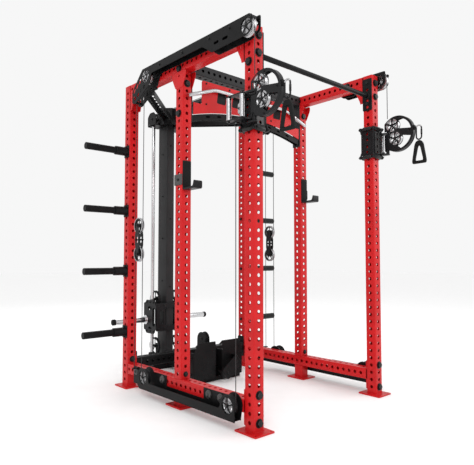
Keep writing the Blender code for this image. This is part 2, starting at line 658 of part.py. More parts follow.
# Moving pieces ------------------------------------------------------------
def build_trolleys():
    for side, s in SIDES.items():
        origin = (s * CABLE_X, FRONT_CABLE_Y, TROLLEY_Z[0])
        build_sleeve(side, s, origin)
        build_grips(side, s, origin)
        pin_y, pin_z = PIN_YZ
        pin = x_rod(s * (OUTER + 2 * GAP), s * 26.6 * INCH, pin_y, pin_z, 0.25 * INCH, 12)
        knob = box((s * 26.3 * INCH, pin_y - 0.6 * INCH, pin_z - 1.2 * INCH),
                   (s * 27.1 * INCH, pin_y + 0.6 * INCH, pin_z + 1.2 * INCH))
        solid(f"{side}_pop_pin", "silver_aluminium", [pin, knob], (), (s * OUTER, pin_y, pin_z))


def build_sleeve(side, s, origin):
    """Square sleeve round the post, with its rollers and the swivel's two hinge lugs."""
    z0, z1 = TROLLEY_Z
    x, y = s * UPRIGHT_X, ROWS["front"]
    inside = HALF_TUBE + TROLLEY_CLEAR
    reach = inside + TROLLEY_WALL
    clear = 0.02 * INCH
    shapes = [box((x - reach, y - reach, z0), (x + reach, y + reach, z1))] + rollers(x, y, reach)
    cuts = [box((x - inside, y - inside, z0 - clear), (x + inside, y + inside, z1 + clear)),
            z_rod(s * CABLE_X, FRONT_CABLE_Y, z0 - TUBE, z1 + TUBE, 0.18 * INCH, 10),
            x_rod(s * (OUTER + GAP), s * 26.0 * INCH, *PIN_YZ, 0.3 * INCH, 10)]
    for z in LUG_ZS:
        shapes.append(box((s * 26.75 * INCH, -2.4 * INCH, z), (s * 25.05 * INCH, -0.3 * INCH, z + LUG_HEIGHT)))
    shapes.append(ring(s * CABLE_X, ANCHOR_Y, 67.6 * INCH, 68.2 * INCH, 0.38 * INCH, 0.16 * INCH))
    shapes.append(box((s * 26.2 * INCH, 3.95 * INCH, 67.65 * INCH), (s * 25.25 * INCH, 3.2 * INCH, 68.15 * INCH)))
    solid(f"{side}_trolley", "black_steel", shapes, cuts, origin)


def rollers(x, y, reach):
    """Rollers that run on all four faces of the post, on axles between corner posts."""
    half = 0.26 * INCH
    corner = reach + 0.2 * INCH
    off = HALF_TUBE + ROLLER_R + 2 * GAP
    span = HALF_TUBE - 0.15 * INCH
    axle = 0.1 * INCH
    shapes = []
    for dx in (-1, 1):
        for dy in (-1, 1):
            px, py = x + dx * corner, y + dy * corner
            shapes.append(box((px - half, py - half, ROLLER_Z[0] - 0.3 * INCH),
                              (px + half, py + half, ROLLER_Z[1] + 0.3 * INCH)))
    for z in ROLLER_Z:
        for d in (-1, 1):
            for length, radius, sides in ((span, ROLLER_R, 12), (corner, axle, 8)):
                shapes.append(x_rod(x - length, x + length, y + d * off, z, radius, sides))
                shapes.append(cylinder((x + d * off, y - length, z), (x + d * off, y + length, z),
                                       radius, sides))
    return shapes


def build_grips(side, s, origin):
    """Two upright grips between a pair of flat brackets."""
    shapes = [z_rod(s * GRIP_X, y, GRIP_Z[0] - 0.1 * INCH, GRIP_Z[1] + 0.1 * INCH, 0.57 * INCH, 14)
              for y in GRIP_YS]
    root = s * 25.38 * INCH
    outline = [(root, 0.0), (s * 28.45 * INCH, 0.0), (s * 28.45 * INCH, 5.45 * INCH),
               (s * 27.25 * INCH, 5.45 * INCH), (s * 27.25 * INCH, 3.3 * INCH), (root, 3.3 * INCH)]
    for z in (GRIP_Z[0] - 0.3 * INCH, GRIP_Z[1]):
        shapes.append(plate([outline], "xy", z, z + 0.3 * INCH))
    solid(f"{side}_grips", "silver_aluminium", shapes, (), origin, round_piece=True)


def guard_outline():
    """Disc with a flat rear edge and a notch for the upper hinge lug."""
    cy, cz = DISC_YZ
    flat = -1.35 * INCH
    bite = -2.95 * INCH
    half = math.degrees(math.acos((flat - cy) / DISC_R))
    rim = arc(DISC_YZ, DISC_R, half, 360 - half, 26)
    notch = [(flat, 73.15 * INCH), (bite, 73.15 * INCH), (bite, 74.0 * INCH), (flat, 74.0 * INCH)]
    return rim + notch


def build_swivels():
    for side, s in SIDES.items():
        origin = (s * CABLE_X, FRONT_CABLE_Y, 70.3 * INCH)
        windows = [circle(SWIVEL_PULLEYS[key], 1.7 * INCH, 14) for key in ("upper", "lower")]
        windows.append([(-6.3 * INCH, 74.4 * INCH), (-9.1 * INCH, 74.4 * INCH), (-8.1 * INCH, 76.3 * INCH),
                        (-6.3 * INCH, 77.2 * INCH)])
        windows.append([(-7.0 * INCH, 72.4 * INCH), (-6.9 * INCH, 70.4 * INCH), (-8.3 * INCH, 70.4 * INCH),
                        (-9.2 * INCH, 72.4 * INCH)])
        plates = []
        for d in (-1, 1):
            face = s * CABLE_X + d * GUARD_HALF
            plates.append(plate([guard_outline()] + windows, "yz", face, face - d * 0.1 * INCH))
        cy, cz = DISC_YZ
        outer_rim = arc(DISC_YZ, DISC_R - 0.02 * INCH, 84, 290, 20)
        inner_rim = arc(DISC_YZ, DISC_R - 0.4 * INCH, 290, 84, 20)
        band = plate([outer_rim + inner_rim], "yz", s * CABLE_X - GUARD_HALF + 0.02 * INCH,
                     s * CABLE_X + GUARD_HALF - 0.02 * INCH)
        post = z_rod(s * CABLE_X, FRONT_CABLE_Y, 67.9 * INCH, 73.3 * INCH, 0.48 * INCH, 12)
        web = box((s * CABLE_X - GUARD_HALF + 0.05 * INCH, -1.37 * INCH, 68.4 * INCH),
                  (s * CABLE_X + GUARD_HALF - 0.05 * INCH, -1.75 * INCH, 73.0 * INCH))
        nose = box((s * CABLE_X - 0.42 * INCH, -9.9 * INCH, 73.15 * INCH),
                   (s * CABLE_X + 0.42 * INCH, -10.5 * INCH, 74.55 * INCH))
        bore = z_rod(s * CABLE_X, FRONT_CABLE_Y, 66.0 * INCH, 74.5 * INCH, 0.2 * INCH, 10)
        solid(f"{side}_swivel_guard", "black_steel", plates + [band, post, web, nose], [bore], origin)
        for key, yz in SWIVEL_PULLEYS.items():
            pulley(f"{side}_{key}_swivel_pulley", s * CABLE_X, yz, SMALL_PULLEY_R,
                   2 * GUARD_HALF - 0.24 * INCH)


def build_handles():
    """A carabiner on the end of the cable, with a triangular strap handle below it."""
    y, z = HANDLE_PIVOT
    for side, s in SIDES.items():
        x = s * CABLE_X
        half, top, bottom = 0.75 * INCH, z + 0.35 * INCH, 70.35 * INCH
        loop = arc((y, top - half), half, 0, 180, 6) + arc((y, bottom + half), half, 180, 360, 6)
        link = tube([(x, u, v) for u, v in loop], 0.19 * INCH, cyclic=True, resolution=1)
        high, low = 70.0 * INCH, 64.0 * INCH
        grip = [(y - 0.45 * INCH, high), (y + 0.45 * INCH, high), (y + 0.9 * INCH, high - 0.8 * INCH),
                (y + 1.75 * INCH, low + 0.5 * INCH), (y + 1.55 * INCH, low), (y - 1.55 * INCH, low),
                (y - 1.75 * INCH, low + 0.5 * INCH), (y - 0.9 * INCH, high - 0.8 * INCH)]
        strap = tube([(x, u, v) for u, v in grip], 0.36 * INCH, cyclic=True, resolution=2)
        solid(f"{side}_handle", "rubber", [strap, link], (), (x, y, z), round_piece=True)


def build_blocks():
    """Floating blocks: two wheels between oval cheeks, hung in the side cable."""
    low, high = BLOCK_ZS
    mid = (low + high) / 2
    for side, s in SIDES.items():
        origin = (s * CABLE_X, BLOCK_Y, mid)
        oval = arc((BLOCK_Y, high), 1.45 * INCH, 0, 180, 6) + arc((BLOCK_Y, low), 1.45 * INCH, 180, 360, 6)
        cheeks = [plate([oval], "yz", s * CABLE_X + d * 0.5 * INCH, s * CABLE_X + d * 0.68 * INCH)
                  for d in (-1, 1)]
        spacers = [x_rod(s * CABLE_X - 0.6 * INCH, s * CABLE_X + 0.6 * INCH, BLOCK_Y + d * 0.8 * INCH, mid,
                         0.3 * INCH, 10) for d in (-1, 1)]
        wheels = [placed_pulley(s * CABLE_X, (BLOCK_Y, z), hub=1.2 * INCH) for z in BLOCK_ZS]
        solid(f"{side}_pulley_block", "black_steel", cheeks + spacers + wheels, (), origin)


def build_carriage():
    z0, z1 = CARRIAGE_Z
    y0, y1 = CARRIAGE_Y
    wide = CARRIAGE_HALF_X
    origin = (0, ROD_Y, z0)
    shapes = [box((-wide, y0, z0 + 1 * INCH), (wide, y0 + PLATE, z1 - 1 * INCH)),
              box((-wide, y1 - PLATE, z0 + 1 * INCH), (wide, y1, z1 - 1 * INCH))]
    cuts = []
    for s in (-1, 1):
        shapes.append(box((s * wide, y0, z0), (s * (wide - PLATE), y1, z1)))
        shapes.append(z_rod(s * ROD_X, ROD_Y, z0, z1, 0.82 * INCH, 12))
        shapes.append(box((s * ROD_X, ROD_Y - 0.5 * INCH, z0 + 2 * INCH),
                          (s * (wide - 0.1 * INCH), ROD_Y + 0.5 * INCH, z1 - 2 * INCH)))
        shapes.append(box((s * 2.95 * INCH, y0 + 0.1 * INCH, 21.0 * INCH),
                          (s * 3.15 * INCH, y1 - 0.1 * INCH, 22.3 * INCH)))
        shapes.append(box((s * 2.95 * INCH, ROD_Y - 0.8 * INCH, 21.2 * INCH),
                          (s * 3.15 * INCH, ROD_Y + 0.8 * INCH, 24.6 * INCH)))
        cuts.append(z_rod(s * ROD_X, ROD_Y, z0 - 1 * INCH, z1 + 1 * INCH, 0.66 * INCH, 12))
        y, z = LOAD_PEG_YZ
        cuts.append(x_rod(s * (wide - 0.4 * INCH), s * (LOAD_PEG_TIP - PLATE), y, z, 0.75 * INCH, 16))
        shapes.append(x_rod(s * (wide - 0.1 * INCH), s * LOAD_PEG_TIP, y, z, 0.95 * INCH, 16))
        shapes.append(x_rod(s * (wide - 0.1 * INCH), s * (wide + 0.7 * INCH), y, z, 1.6 * INCH, 16))
        shapes.append(placed_pulley(s * STACK_PULLEY_X, (ROD_Y, CARRIAGE_PULLEY_Z), BIG_PULLEY_R, 1.36 * INCH))
    solid("weight_carriage", "black_steel", shapes, cuts, origin)


def build_lat_bar():
    """Bent pull-down bar with an eye plate and a link up to the cable."""
    z, drop = 84.2 * INCH, 3.3 * INCH
    bend, tip = 14.2 * INCH, 23.5 * INCH
    y = LAT_BAR_Y
    points = [(-tip, y, z - drop), (-bend, y, z), (bend, y, z), (tip, y, z - drop)]
    bar = tube(points, 0.5 * INCH, resolution=3)
    eye = plate([circle((0, z + 0.55 * INCH), 0.75 * INCH, 14), circle((0, z + 0.75 * INCH), 0.28 * INCH, 10)],
                "xz", y - 0.2 * INCH, y + 0.2 * INCH)
    link = z_rod(0, y, z + 1.1 * INCH, 86.4 * INCH, 0.2 * INCH, 10)
    solid("lat_bar", "bright_steel", [bar, eye, link], (), (0, y, 86.5 * INCH), round_piece=True)


# Cables -----------------------------------------------------------------------
def build_cables():
    """Two cables a side: each runs from the trolley, through a channel, round the block."""
    rear = REAR_CABLE_Y - PULLEY_CABLE_R
    radius = PULLEY_CABLE_R
    low, high = BLOCK_ZS
    upper = [(FRONT_CABLE_Y, 77.9 * INCH)]
    upper += arc((FRONT_CABLE_Y + radius, TOP_PULLEY_Z), radius, 180, 90, 6)
    upper += arc((rear, TOP_PULLEY_Z), radius, 90, 0, 6)
    upper += arc((BLOCK_Y, high), radius, 180, 360, 12) + [(RETURN_CABLE_Y, UPPER_ANCHOR_Z - GAP)]
    lower = [(ANCHOR_Y, 67.6 * INCH - GAP)]
    lower += arc((ANCHOR_Y + radius, BASE_PULLEY_Z), radius, 180, 270, 6)
    lower += arc((rear, BASE_PULLEY_Z), radius, -90, 0, 6)
    lower += arc((BLOCK_Y, low), radius, 180, 0, 12)
    lower += [(RETURN_CABLE_Y, LOWER_ANCHOR_Z - 0.4 * INCH + GAP)]
    for side, s in SIDES.items():
        for key, route in (("upper", upper), ("lower", lower)):
            run = tube([(s * CABLE_X, y, z) for y, z in route], CABLE_R)
            solid(f"{side}_{key}_cable", "coated_cable", [run], round_piece=True)
    build_lat_cable()


def build_lat_cable():
    """Pull-down cable: from the bar over both top pulleys and down the mast."""
    y, z = LAT_PULLEY_YZ
    flat = [(LAT_BAR_Y, 86.5 * INCH)] + arc((y, z), SMALL_CABLE_R, 180, 90, 6)
    flat += arc(REAR_LAT_YZ, SMALL_CABLE_R, 90, 0, 6) + [(REAR_LAT_YZ[0] + SMALL_CABLE_R, 80.0 * INCH)]
    run = tube([(0, u, v) for u, v in flat], CABLE_R)
    solid("lat_cable", "coated_cable", [run], round_piece=True)


def main():
    build_uprights()
    build_rails()
    build_crossmembers()
    build_sign()
    build_pull_up_bar()
    build_mast()
    build_mast_head()
    build_lat_boom()
    build_rear_arms()
    build_base_spine()
    build_j_cups()
    build_channels()
    build_channel_pulleys()
    build_trolleys()
    build_swivels()
    build_handles()
    build_blocks()
    build_carriage()
    build_lat_bar()
    build_cables()


main()
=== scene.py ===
"""Looks of the power rack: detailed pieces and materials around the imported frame.

Lengths in the code are inches, measured from a datum on the floor: the middle
of the rack in X and the front faces of the front posts in Y.
"""
import math

import bmesh
import bpy
from mathutils import Matrix, Vector
from mathutils.geometry import tessellate_polygon

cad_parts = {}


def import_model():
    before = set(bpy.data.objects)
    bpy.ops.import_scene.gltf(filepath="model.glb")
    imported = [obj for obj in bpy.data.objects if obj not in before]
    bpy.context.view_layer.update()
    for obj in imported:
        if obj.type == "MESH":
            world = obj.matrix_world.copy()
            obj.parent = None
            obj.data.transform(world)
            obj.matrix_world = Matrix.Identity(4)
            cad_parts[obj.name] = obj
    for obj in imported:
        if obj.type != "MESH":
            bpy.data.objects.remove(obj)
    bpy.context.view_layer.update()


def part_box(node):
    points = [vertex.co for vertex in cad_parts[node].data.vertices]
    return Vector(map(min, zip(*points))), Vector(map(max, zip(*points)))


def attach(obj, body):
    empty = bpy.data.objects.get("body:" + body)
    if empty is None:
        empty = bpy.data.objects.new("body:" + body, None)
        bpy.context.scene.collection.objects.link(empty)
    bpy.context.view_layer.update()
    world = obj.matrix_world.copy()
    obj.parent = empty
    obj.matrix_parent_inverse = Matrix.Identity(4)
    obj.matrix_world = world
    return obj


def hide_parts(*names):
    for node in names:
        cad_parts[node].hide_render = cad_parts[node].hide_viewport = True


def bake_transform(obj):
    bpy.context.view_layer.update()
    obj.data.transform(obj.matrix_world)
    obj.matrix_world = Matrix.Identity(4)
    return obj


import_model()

INCH = 0.0254
DATUM_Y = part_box("pull_up_bar")[0].y / INCH     # front faces of the front posts
SIDES = {"left": -1, "right": 1}
ROWS = {"front": 1.5, "mid": 28.5, "rear": 55.5}
POST_X = 23.35
HALF = 1.5
WALL = 0.12
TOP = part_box("upright_front_left")[1].z / INCH
GAP = 0.012                                     # between a post and what is bolted to it
FLANGE = 0.25                                   # thickness of the tubes' end plates
HOLE_R = 0.45
FIRST_HOLE, HOLE_STEP = 2.2, 2.0
CABLE_X = 26.4                                  # plane of the side cables
CABLE_R = 0.1
RUN_R = 1.97                                    # cable centre line on the big pulleys
TOP_Z, BASE_Z = 89.1, 5.4                       # axles of the channel pulleys
FRONT_RUN, LOW_RUN, REAR_RUN = -2.0, 4.2, 43.5  # Y of the upright runs of cable
FRONT_TOP_Y, FRONT_BASE_Y = FRONT_RUN + RUN_R, LOW_RUN + RUN_R
REAR_Y = REAR_RUN - RUN_R
BLOCK_Y, BLOCK_ZS = REAR_RUN + RUN_R, (39.2, 47.2)
WHEEL_R, MAST_WHEEL_R, WHEEL_WIDTH = 2.25, 2.95, 0.8
SWIVEL_WHEEL_R = LAT_WHEEL_R = 1.9
ROD_X, ROD_Y = 5.1, 72.0                        # guide rods
LIFT_X, LIFT_Z, LIFT_TOP = 3.8, 23.7, 85.0      # lifting cables and the carriage's wheels
LAT_Y, LAT_REAR_Y, LAT_Z, LAT_RUN_R = 28.0, 71.4, 89.6, 1.7     # pull-down wheels and cable
PEG_ZS, COLLAR_TIP, PEG_TIP = (16.2, 34.2, 52.2, 70.2), 28.9, 38.25
SIGN_Y = 27.08                                  # front face of the sign
INNER, BACK, SKIN, OUTER = 24.86, 25.05, 27.15, 27.3      # X of the channels' two walls
LOAD_PEG_TIP = 19.5
MATERIALS = {}


def world(x, y, z):
    """Datum inches to metres in the shared frame."""
    return Vector((x * INCH, (y + DATUM_Y) * INCH, z * INCH))


# Camera
def add_camera():
    data = bpy.data.cameras.new("camera")
    data.lens = 38.2
    data.sensor_width = 36
    camera = bpy.data.objects.new("camera", data)
    camera.location = world(-100.91, -79.43, 37.9)
    camera.rotation_euler = (math.radians(92.955), 0, math.radians(-41.837))
    bpy.context.scene.collection.objects.link(camera)
    bpy.context.scene.camera = camera


# Materials
def material(name, colour, roughness, metallic=0.0, spread=0.12, grain=900, bump=0.1, stretch=(1, 1, 1),
        coat=0.0, rough_spread=0.1, patch=7, gloss=0.35):
    """Procedural finish: patchy colour, patchy roughness and a fine surface grain."""
    made = bpy.data.materials.new(name)
    made.use_nodes = True
    nodes, links = made.node_tree.nodes, made.node_tree.links
    shader = nodes["Principled BSDF"]
    for key, value in {"Metallic": metallic, "Coat Weight": coat, "Specular IOR Level": gloss,
            "Coat Roughness": 0.18}.items():
        shader.inputs[key].default_value = value
    place = nodes.new("ShaderNodeTexCoord")
    mapping = nodes.new("ShaderNodeMapping")
    mapping.inputs["Scale"].default_value = stretch
    links.new(place.outputs["Object"], mapping.inputs["Vector"])

    def noise(scale, detail):
        node = nodes.new("ShaderNodeTexNoise")
        node.inputs["Scale"].default_value = scale
        node.inputs["Detail"].default_value = detail
        links.new(mapping.outputs["Vector"], node.inputs["Vector"])
        return node.outputs["Fac"]

    ramp = nodes.new("ShaderNodeValToRGB")
    for stop, position, scale in zip(ramp.color_ramp.elements, (0.35, 0.65), (1 - spread, 1 + spread)):
        stop.position = position
        stop.color = (*[min(1, c * scale) for c in colour], 1)
    links.new(noise(patch, 4), ramp.inputs["Fac"])
    links.new(ramp.outputs["Color"], shader.inputs["Base Color"])
    limits = nodes.new("ShaderNodeMapRange")
    limits.inputs["To Min"].default_value = roughness - rough_spread / 2
    limits.inputs["To Max"].default_value = roughness + rough_spread
    links.new(noise(patch * 9, 5), limits.inputs["Value"])
    links.new(limits.outputs["Result"], shader.inputs["Roughness"])
    relief = nodes.new("ShaderNodeBump")
    relief.inputs["Strength"].default_value = bump
    relief.inputs["Distance"].default_value = 0.0004
    links.new(noise(grain, 2), relief.inputs["Height"])
    links.new(relief.outputs["Normal"], shader.inputs["Normal"])
    MATERIALS[name] = made
    return made


RED = material("red_powder", (0.54, 0.008, 0.01), 0.36, bump=0.16, coat=0.06, spread=0.08, gloss=0.2)
BLACK = material("black_powder", (0.006, 0.006, 0.0065), 0.4, spread=0.25, bump=0.2, gloss=0.14)
STEEL = material("black_satin_steel", (0.008, 0.008, 0.009), 0.34, spread=0.2, gloss=0.2)
MAST = material("grey_mast_powder", (0.018, 0.018, 0.019), 0.45, spread=0.15, bump=0.2, gloss=0.25)
PLATE = material("grey_satin_plate", (0.075, 0.072, 0.072), 0.36, metallic=0.5, stretch=(1, 1, 6))
CHROME = material("polished_chrome", (0.6, 0.6, 0.61), 0.16, metallic=1.0, spread=0.03, rough_spread=0.06,
    bump=0.03)
SILVER = material("brushed_aluminium", (0.52, 0.52, 0.53), 0.3, metallic=1.0, spread=0.06, grain=260,
    bump=0.08, stretch=(8, 8, 1))
NYLON = material("moulded_nylon", (0.008, 0.008, 0.0085), 0.36, spread=0.2, grain=1400, bump=0.08,
    gloss=0.25)
RUBBER = material("black_rubber", (0.006, 0.006, 0.006), 0.7, spread=0.3, grain=700, bump=0.5, gloss=0.2)
URETHANE = material("roller_urethane", (0.01, 0.0095, 0.0095), 0.28, spread=0.15, bump=0.05, gloss=0.3)
CABLE = material("sheathed_cable", (0.02, 0.02, 0.021), 0.35, spread=0.15, grain=500, bump=0.25)
BOLT = material("black_oxide_bolt", (0.007, 0.007, 0.0075), 0.3, metallic=0.1, spread=0.3, gloss=0.3)


# Shape building
def arc(centre, radius, start, stop, steps):
    angles = [math.radians(start + (stop - start) * i / steps) for i in range(steps + 1)]
    return [(centre[0] + radius * math.cos(a), centre[1] + radius * math.sin(a)) for a in angles]


def circle(centre, radius, sides=20):
    return arc(centre, radius, 0, 360 * (sides - 1) / sides, sides - 1)


def rounded(points, radius, steps=4):
    """The polygon with its corners rounded; each corner keeps within its shorter side."""
    out = []
    count = len(points)
    for i, point in enumerate(points):
        here = Vector(point)
        before, after = Vector(points[i - 1]) - here, Vector(points[(i + 1) % count]) - here
        cut = min(radius, before.length * 0.45, after.length * 0.45)
        a, b = here + before.normalized() * cut, here + after.normalized() * cut
        for k in range(steps + 1):
            t = k / steps
            out.append(tuple(a * (1 - t) ** 2 + here * 2 * t * (1 - t) + b * t ** 2))
    return out


def rectangle(u0, u1, v0, v1):
    return [(u0, v0), (u1, v0), (u1, v1), (u0, v1)]


def panel(u0, u1, v0, v1, radius=0.3):
    return rounded(rectangle(u0, u1, v0, v1), radius)


def symmetric(middle, half):
    """Closed outline that mirrors (offset, v) points about a middle line."""
    points = [(middle + w, v) for w, v in half]
    points += [(middle - w, v) for w, v in reversed(half)]
    return points[-1:] + points[:-1]


def ring_profile(inner, outer, height):
    """Lathe profile of a plain ring."""
    return rectangle(inner, outer, 0, height)


class Shape:
    """Gathers geometry in datum inches, then becomes one object."""

    def __init__(self):
        self.verts, self.faces, self.finish_of = [], [], []

    def add(self, verts, faces, finish):
        base = len(self.verts)
        self.verts += [Vector(v) for v in verts]
        self.faces += [[base + i for i in face] for face in faces]
        self.finish_of += [finish.name] * len(faces)

    def box(self, low, high, finish, bevel=0.04):
        low, high = Vector(map(min, low, high)), Vector(map(max, low, high))
        size = high - low
        bevel = min(bevel, min(size) * 0.3)
        work = bmesh.new()
        place = Matrix.Translation((low + high) / 2) @ Matrix.Diagonal((*size, 1))
        bmesh.ops.create_cube(work, size=1, matrix=place)
        bmesh.ops.bevel(work, geom=list(work.edges), offset=bevel, segments=2, profile=0.6,
            affect="EDGES")
        self.take(work, finish)

    def take(self, work, finish):
        work.verts.index_update()
        self.add([v.co.copy() for v in work.verts], [[v.index for v in face.verts]
            for face in work.faces], finish)
        work.free()

    def lathe(self, profile, origin, axis, finish, sides=32, closed=False):
        """Turns (radius, height) points about an axis through origin."""
        turn = Vector(axis).to_track_quat("Z", "Y").to_matrix()
        origin = Vector(origin)
        rings, verts, faces = [], [], []
        for r, h in profile:
            if r < 1e-6:
                rings.append([len(verts)])
                verts.append(origin + turn @ Vector((0, 0, h)))
                continue
            ring = []
            for i in range(sides):
                a = 2 * math.pi * i / sides
                ring.append(len(verts))
                verts.append(origin + turn @ Vector((r * math.cos(a), r * math.sin(a), h)))
            rings.append(ring)
        pairs = list(zip(rings, rings[1:]))
        if closed:
            pairs.append((rings[-1], rings[0]))
        for a, b in pairs:
            for i in range(sides):
                j = (i + 1) % sides
                if len(a) == 1 and len(b) == 1:
                    continue
                if len(a) == 1:
                    faces.append([a[0], b[i], b[j]])
                elif len(b) == 1:
                    faces.append([a[i], b[0], a[j]])
                else:
                    faces.append([a[i], b[i], b[j], a[j]])
        self.add(verts, faces, finish)

    def rod(self, start, end, radius, finish, sides=28, bevel=0.06):
        start, end = Vector(start), Vector(end)
        length = (end - start).length
        c = min(bevel, radius * 0.4, length * 0.3)
        profile = [(0, 0), (radius - c, 0), (radius - 0.3 * c, 0.3 * c), (radius, c),
            (radius, length - c), (radius - 0.3 * c, length - 0.3 * c), (radius - c, length), (0, length)]
        self.lathe(profile, start, end - start, finish, sides)

    def plate(self, loops, axes, start, end, finish, bevel=0.03):
        """A flat outline with holes, from start to end along the third axis, edges broken."""
        low, high = min(start, end), max(start, end)
        u_axis, v_axis = "xyz".index(axes[0]), "xyz".index(axes[1])
        w_axis = 3 - u_axis - v_axis
        bevel = min(bevel, (high - low) * 0.3)
        verts, faces = [], []

        def corner(u, v, w):
            point = [0, 0, 0]
            point[u_axis], point[v_axis], point[w_axis] = u, v, w
            verts.append(Vector(point))
            return len(verts) - 1

        for number, loop in enumerate(loops):
            area = sum(a[0] * b[1] - b[0] * a[1] for a, b in zip(loop, loop[1:] + loop[:1]))
            if (area > 0) != (number == 0):
                loops[number] = list(reversed(loop))
        levels = []
        for w, inset in ((low, bevel), (low + bevel, 0), (high - bevel, 0), (high, bevel)):
            rings = []
            for loop in loops:
                ring = []
                count = len(loop)
                for i, (u, v) in enumerate(loop):
                    before, after = Vector(loop[i - 1]), Vector(loop[(i + 1) % count])
                    here = Vector((u, v))
                    side = Vector((0, 0))
                    for edge in (here - before, after - here):
                        if edge.length > 1e-9:
                            edge.normalize()
                            side += Vector((-edge.y, edge.x))
                    if side.length > 1e-9:
                        side.normalize()
                    ring.append(corner(u + side.x * inset, v + side.y * inset, w))
                rings.append(ring)
            levels.append(rings)
        for below, above in zip(levels, levels[1:]):
            for a, b in zip(below, above):
                for i in range(len(a)):
                    j = (i + 1) % len(a)
                    faces.append([a[i], a[j], b[j], b[i]])
        triangles = tessellate_polygon([[Vector((u, v, 0)) for u, v in loop] for loop in loops])
        flat_low = [i for ring in levels[0] for i in ring]
        flat_high = [i for ring in levels[-1] for i in ring]
        for triangle in triangles:
            faces.append([flat_high[i] for i in triangle])
            faces.append([flat_low[i] for i in reversed(triangle)])
        self.add(verts, faces, finish)

    def tube(self, points, radius, finish, sides=16, cyclic=False):
        """A round bar swept along points."""
        points = [Vector(p) for p in points]
        count = len(points)
        verts, faces, rings = [], [], []
        up = None
        for i, here in enumerate(points):
            ahead = points[(i + 1) % count] if cyclic or i < count - 1 else here
            behind = points[i - 1] if cyclic or i > 0 else here
            along = (ahead - behind).normalized()
            if up is None:
                up = along.orthogonal().normalized()
            up = (up - along * up.dot(along)).normalized()
            across = along.cross(up)
            ring = []
            for k in range(sides):
                a = 2 * math.pi * k / sides
                ring.append(len(verts))
                verts.append(here + (up * math.cos(a) + across * math.sin(a)) * radius)
            rings.append(ring)
        pairs = list(zip(rings, rings[1:]))
        if cyclic:
            pairs.append((rings[-1], rings[0]))
        for a, b in pairs:
            for k in range(sides):
                m = (k + 1) % sides
                faces.append([a[k], a[m], b[m], b[k]])
        if not cyclic:
            faces += [list(reversed(rings[0])), rings[-1]]
        self.add(verts, faces, finish)

    def finish(self, name, body, *replaced):
        """Makes the object, rides it on its body and hides the CAD nodes it stands for."""
        used = sorted(set(self.finish_of))
        mesh = bpy.data.meshes.new(name)
        mesh.from_pydata([world(*v) for v in self.verts], [], self.faces)
        for key in used:
            mesh.materials.append(MATERIALS[key])
        mesh.polygons.foreach_set("material_index", [used.index(k) for k in self.finish_of])
        work = bmesh.new()
        work.from_mesh(mesh)
        bmesh.ops.remove_doubles(work, verts=work.verts, dist=2e-6)
        bmesh.ops.dissolve_degenerate(work, edges=work.edges, dist=1e-6)
        bmesh.ops.recalc_face_normals(work, faces=work.faces)
        work.to_mesh(mesh)
        work.free()
        mesh.shade_smooth()
        mesh.set_sharp_from_angle(angle=math.radians(32))
        item = bpy.data.objects.new(name, mesh)
        bpy.context.scene.collection.objects.link(item)
        if body:
            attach(item, body)
        if replaced:
            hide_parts(*replaced)
        return item


def perforated_tube(shape, axis, start, end, centre, finish, holes, faces="0123"):
    """Square tube with rounded corners and rows of holes, open at both ends.

    centre is the cross-section's centre in the two other axes, in x, y, z order.
    Face 0 looks to -v, 1 to +u, 2 to +v, 3 to -u.
    """
    corner = 0.22
    flat = HALF - corner
    u_axis, v_axis = [i for i in range(3) if i != "xyz".index(axis)]
    w_axis = "xyz".index(axis)

    def put(u, v, w):
        point = [0, 0, 0]
        point[u_axis], point[v_axis], point[w_axis] = centre[0] + u, centre[1] + v, w
        return Vector(point)

    chamfer = 0.035
    for face in range(4):
        turn = Matrix.Rotation(math.radians(90 * face), 2)
        loops = [rectangle(-flat, flat, start, end)]
        if str(face) in faces:
            loops += [list(reversed(circle((0, h), HOLE_R, 14))) for h in holes]
            wide = [list(reversed(circle((0, h), HOLE_R + chamfer, 14))) for h in holes]
        else:
            wide = []
        verts, polys, starts = [], [], []

        def layer(level_loops, depth):
            first = len(verts)
            for loop in level_loops:
                for a, w in loop:
                    u, v = turn @ Vector((a, -HALF + depth))
                    verts.append(put(u, v, w))
            starts.append(first)

        layer([loops[0]] + wide, 0)
        layer([loops[0]] + loops[1:], chamfer)
        layer(loops, WALL)
        flats = tessellate_polygon([[Vector((u, v, 0)) for u, v in loop] for loop in [loops[0]] + wide])
        for triangle in flats:
            polys.append([starts[0] + i for i in triangle])
            polys.append([starts[2] + i for i in reversed(triangle)])
        offset = 0
        for number, loop in enumerate(loops):
            count = len(loop)
            for i in range(count):
                j = (i + 1) % count
                if number == 0 and i in (1, 3):
                    continue
                levels = ((starts[0], starts[1]), (starts[1], starts[2])) if number else ((starts[0],
                    starts[2]),)
                for a, b in levels:
                    polys.append([a + offset + i, a + offset + j, b + offset + j, b + offset + i])
            offset += count
        shape.add(verts, polys, finish)
        steps = 4
        verts, polys = [], []
        for k in range(steps + 1):
            angle = math.radians(-90 + 90 * k / steps)
            for radius in (corner, corner - WALL):
                u, v = turn @ Vector((flat + radius * math.cos(angle), -flat + radius * math.sin(angle)))
                verts += [put(u, v, start), put(u, v, end)]
        for k in range(steps):
            a, b = 4 * k, 4 * k + 4
            polys += [[a, b, b + 1, a + 1], [a + 2, a + 3, b + 3, b + 2], [a, a + 2, b + 2, b],
                [a + 1, b + 1, b + 3, a + 3]]
        shape.add(verts, polys, finish)


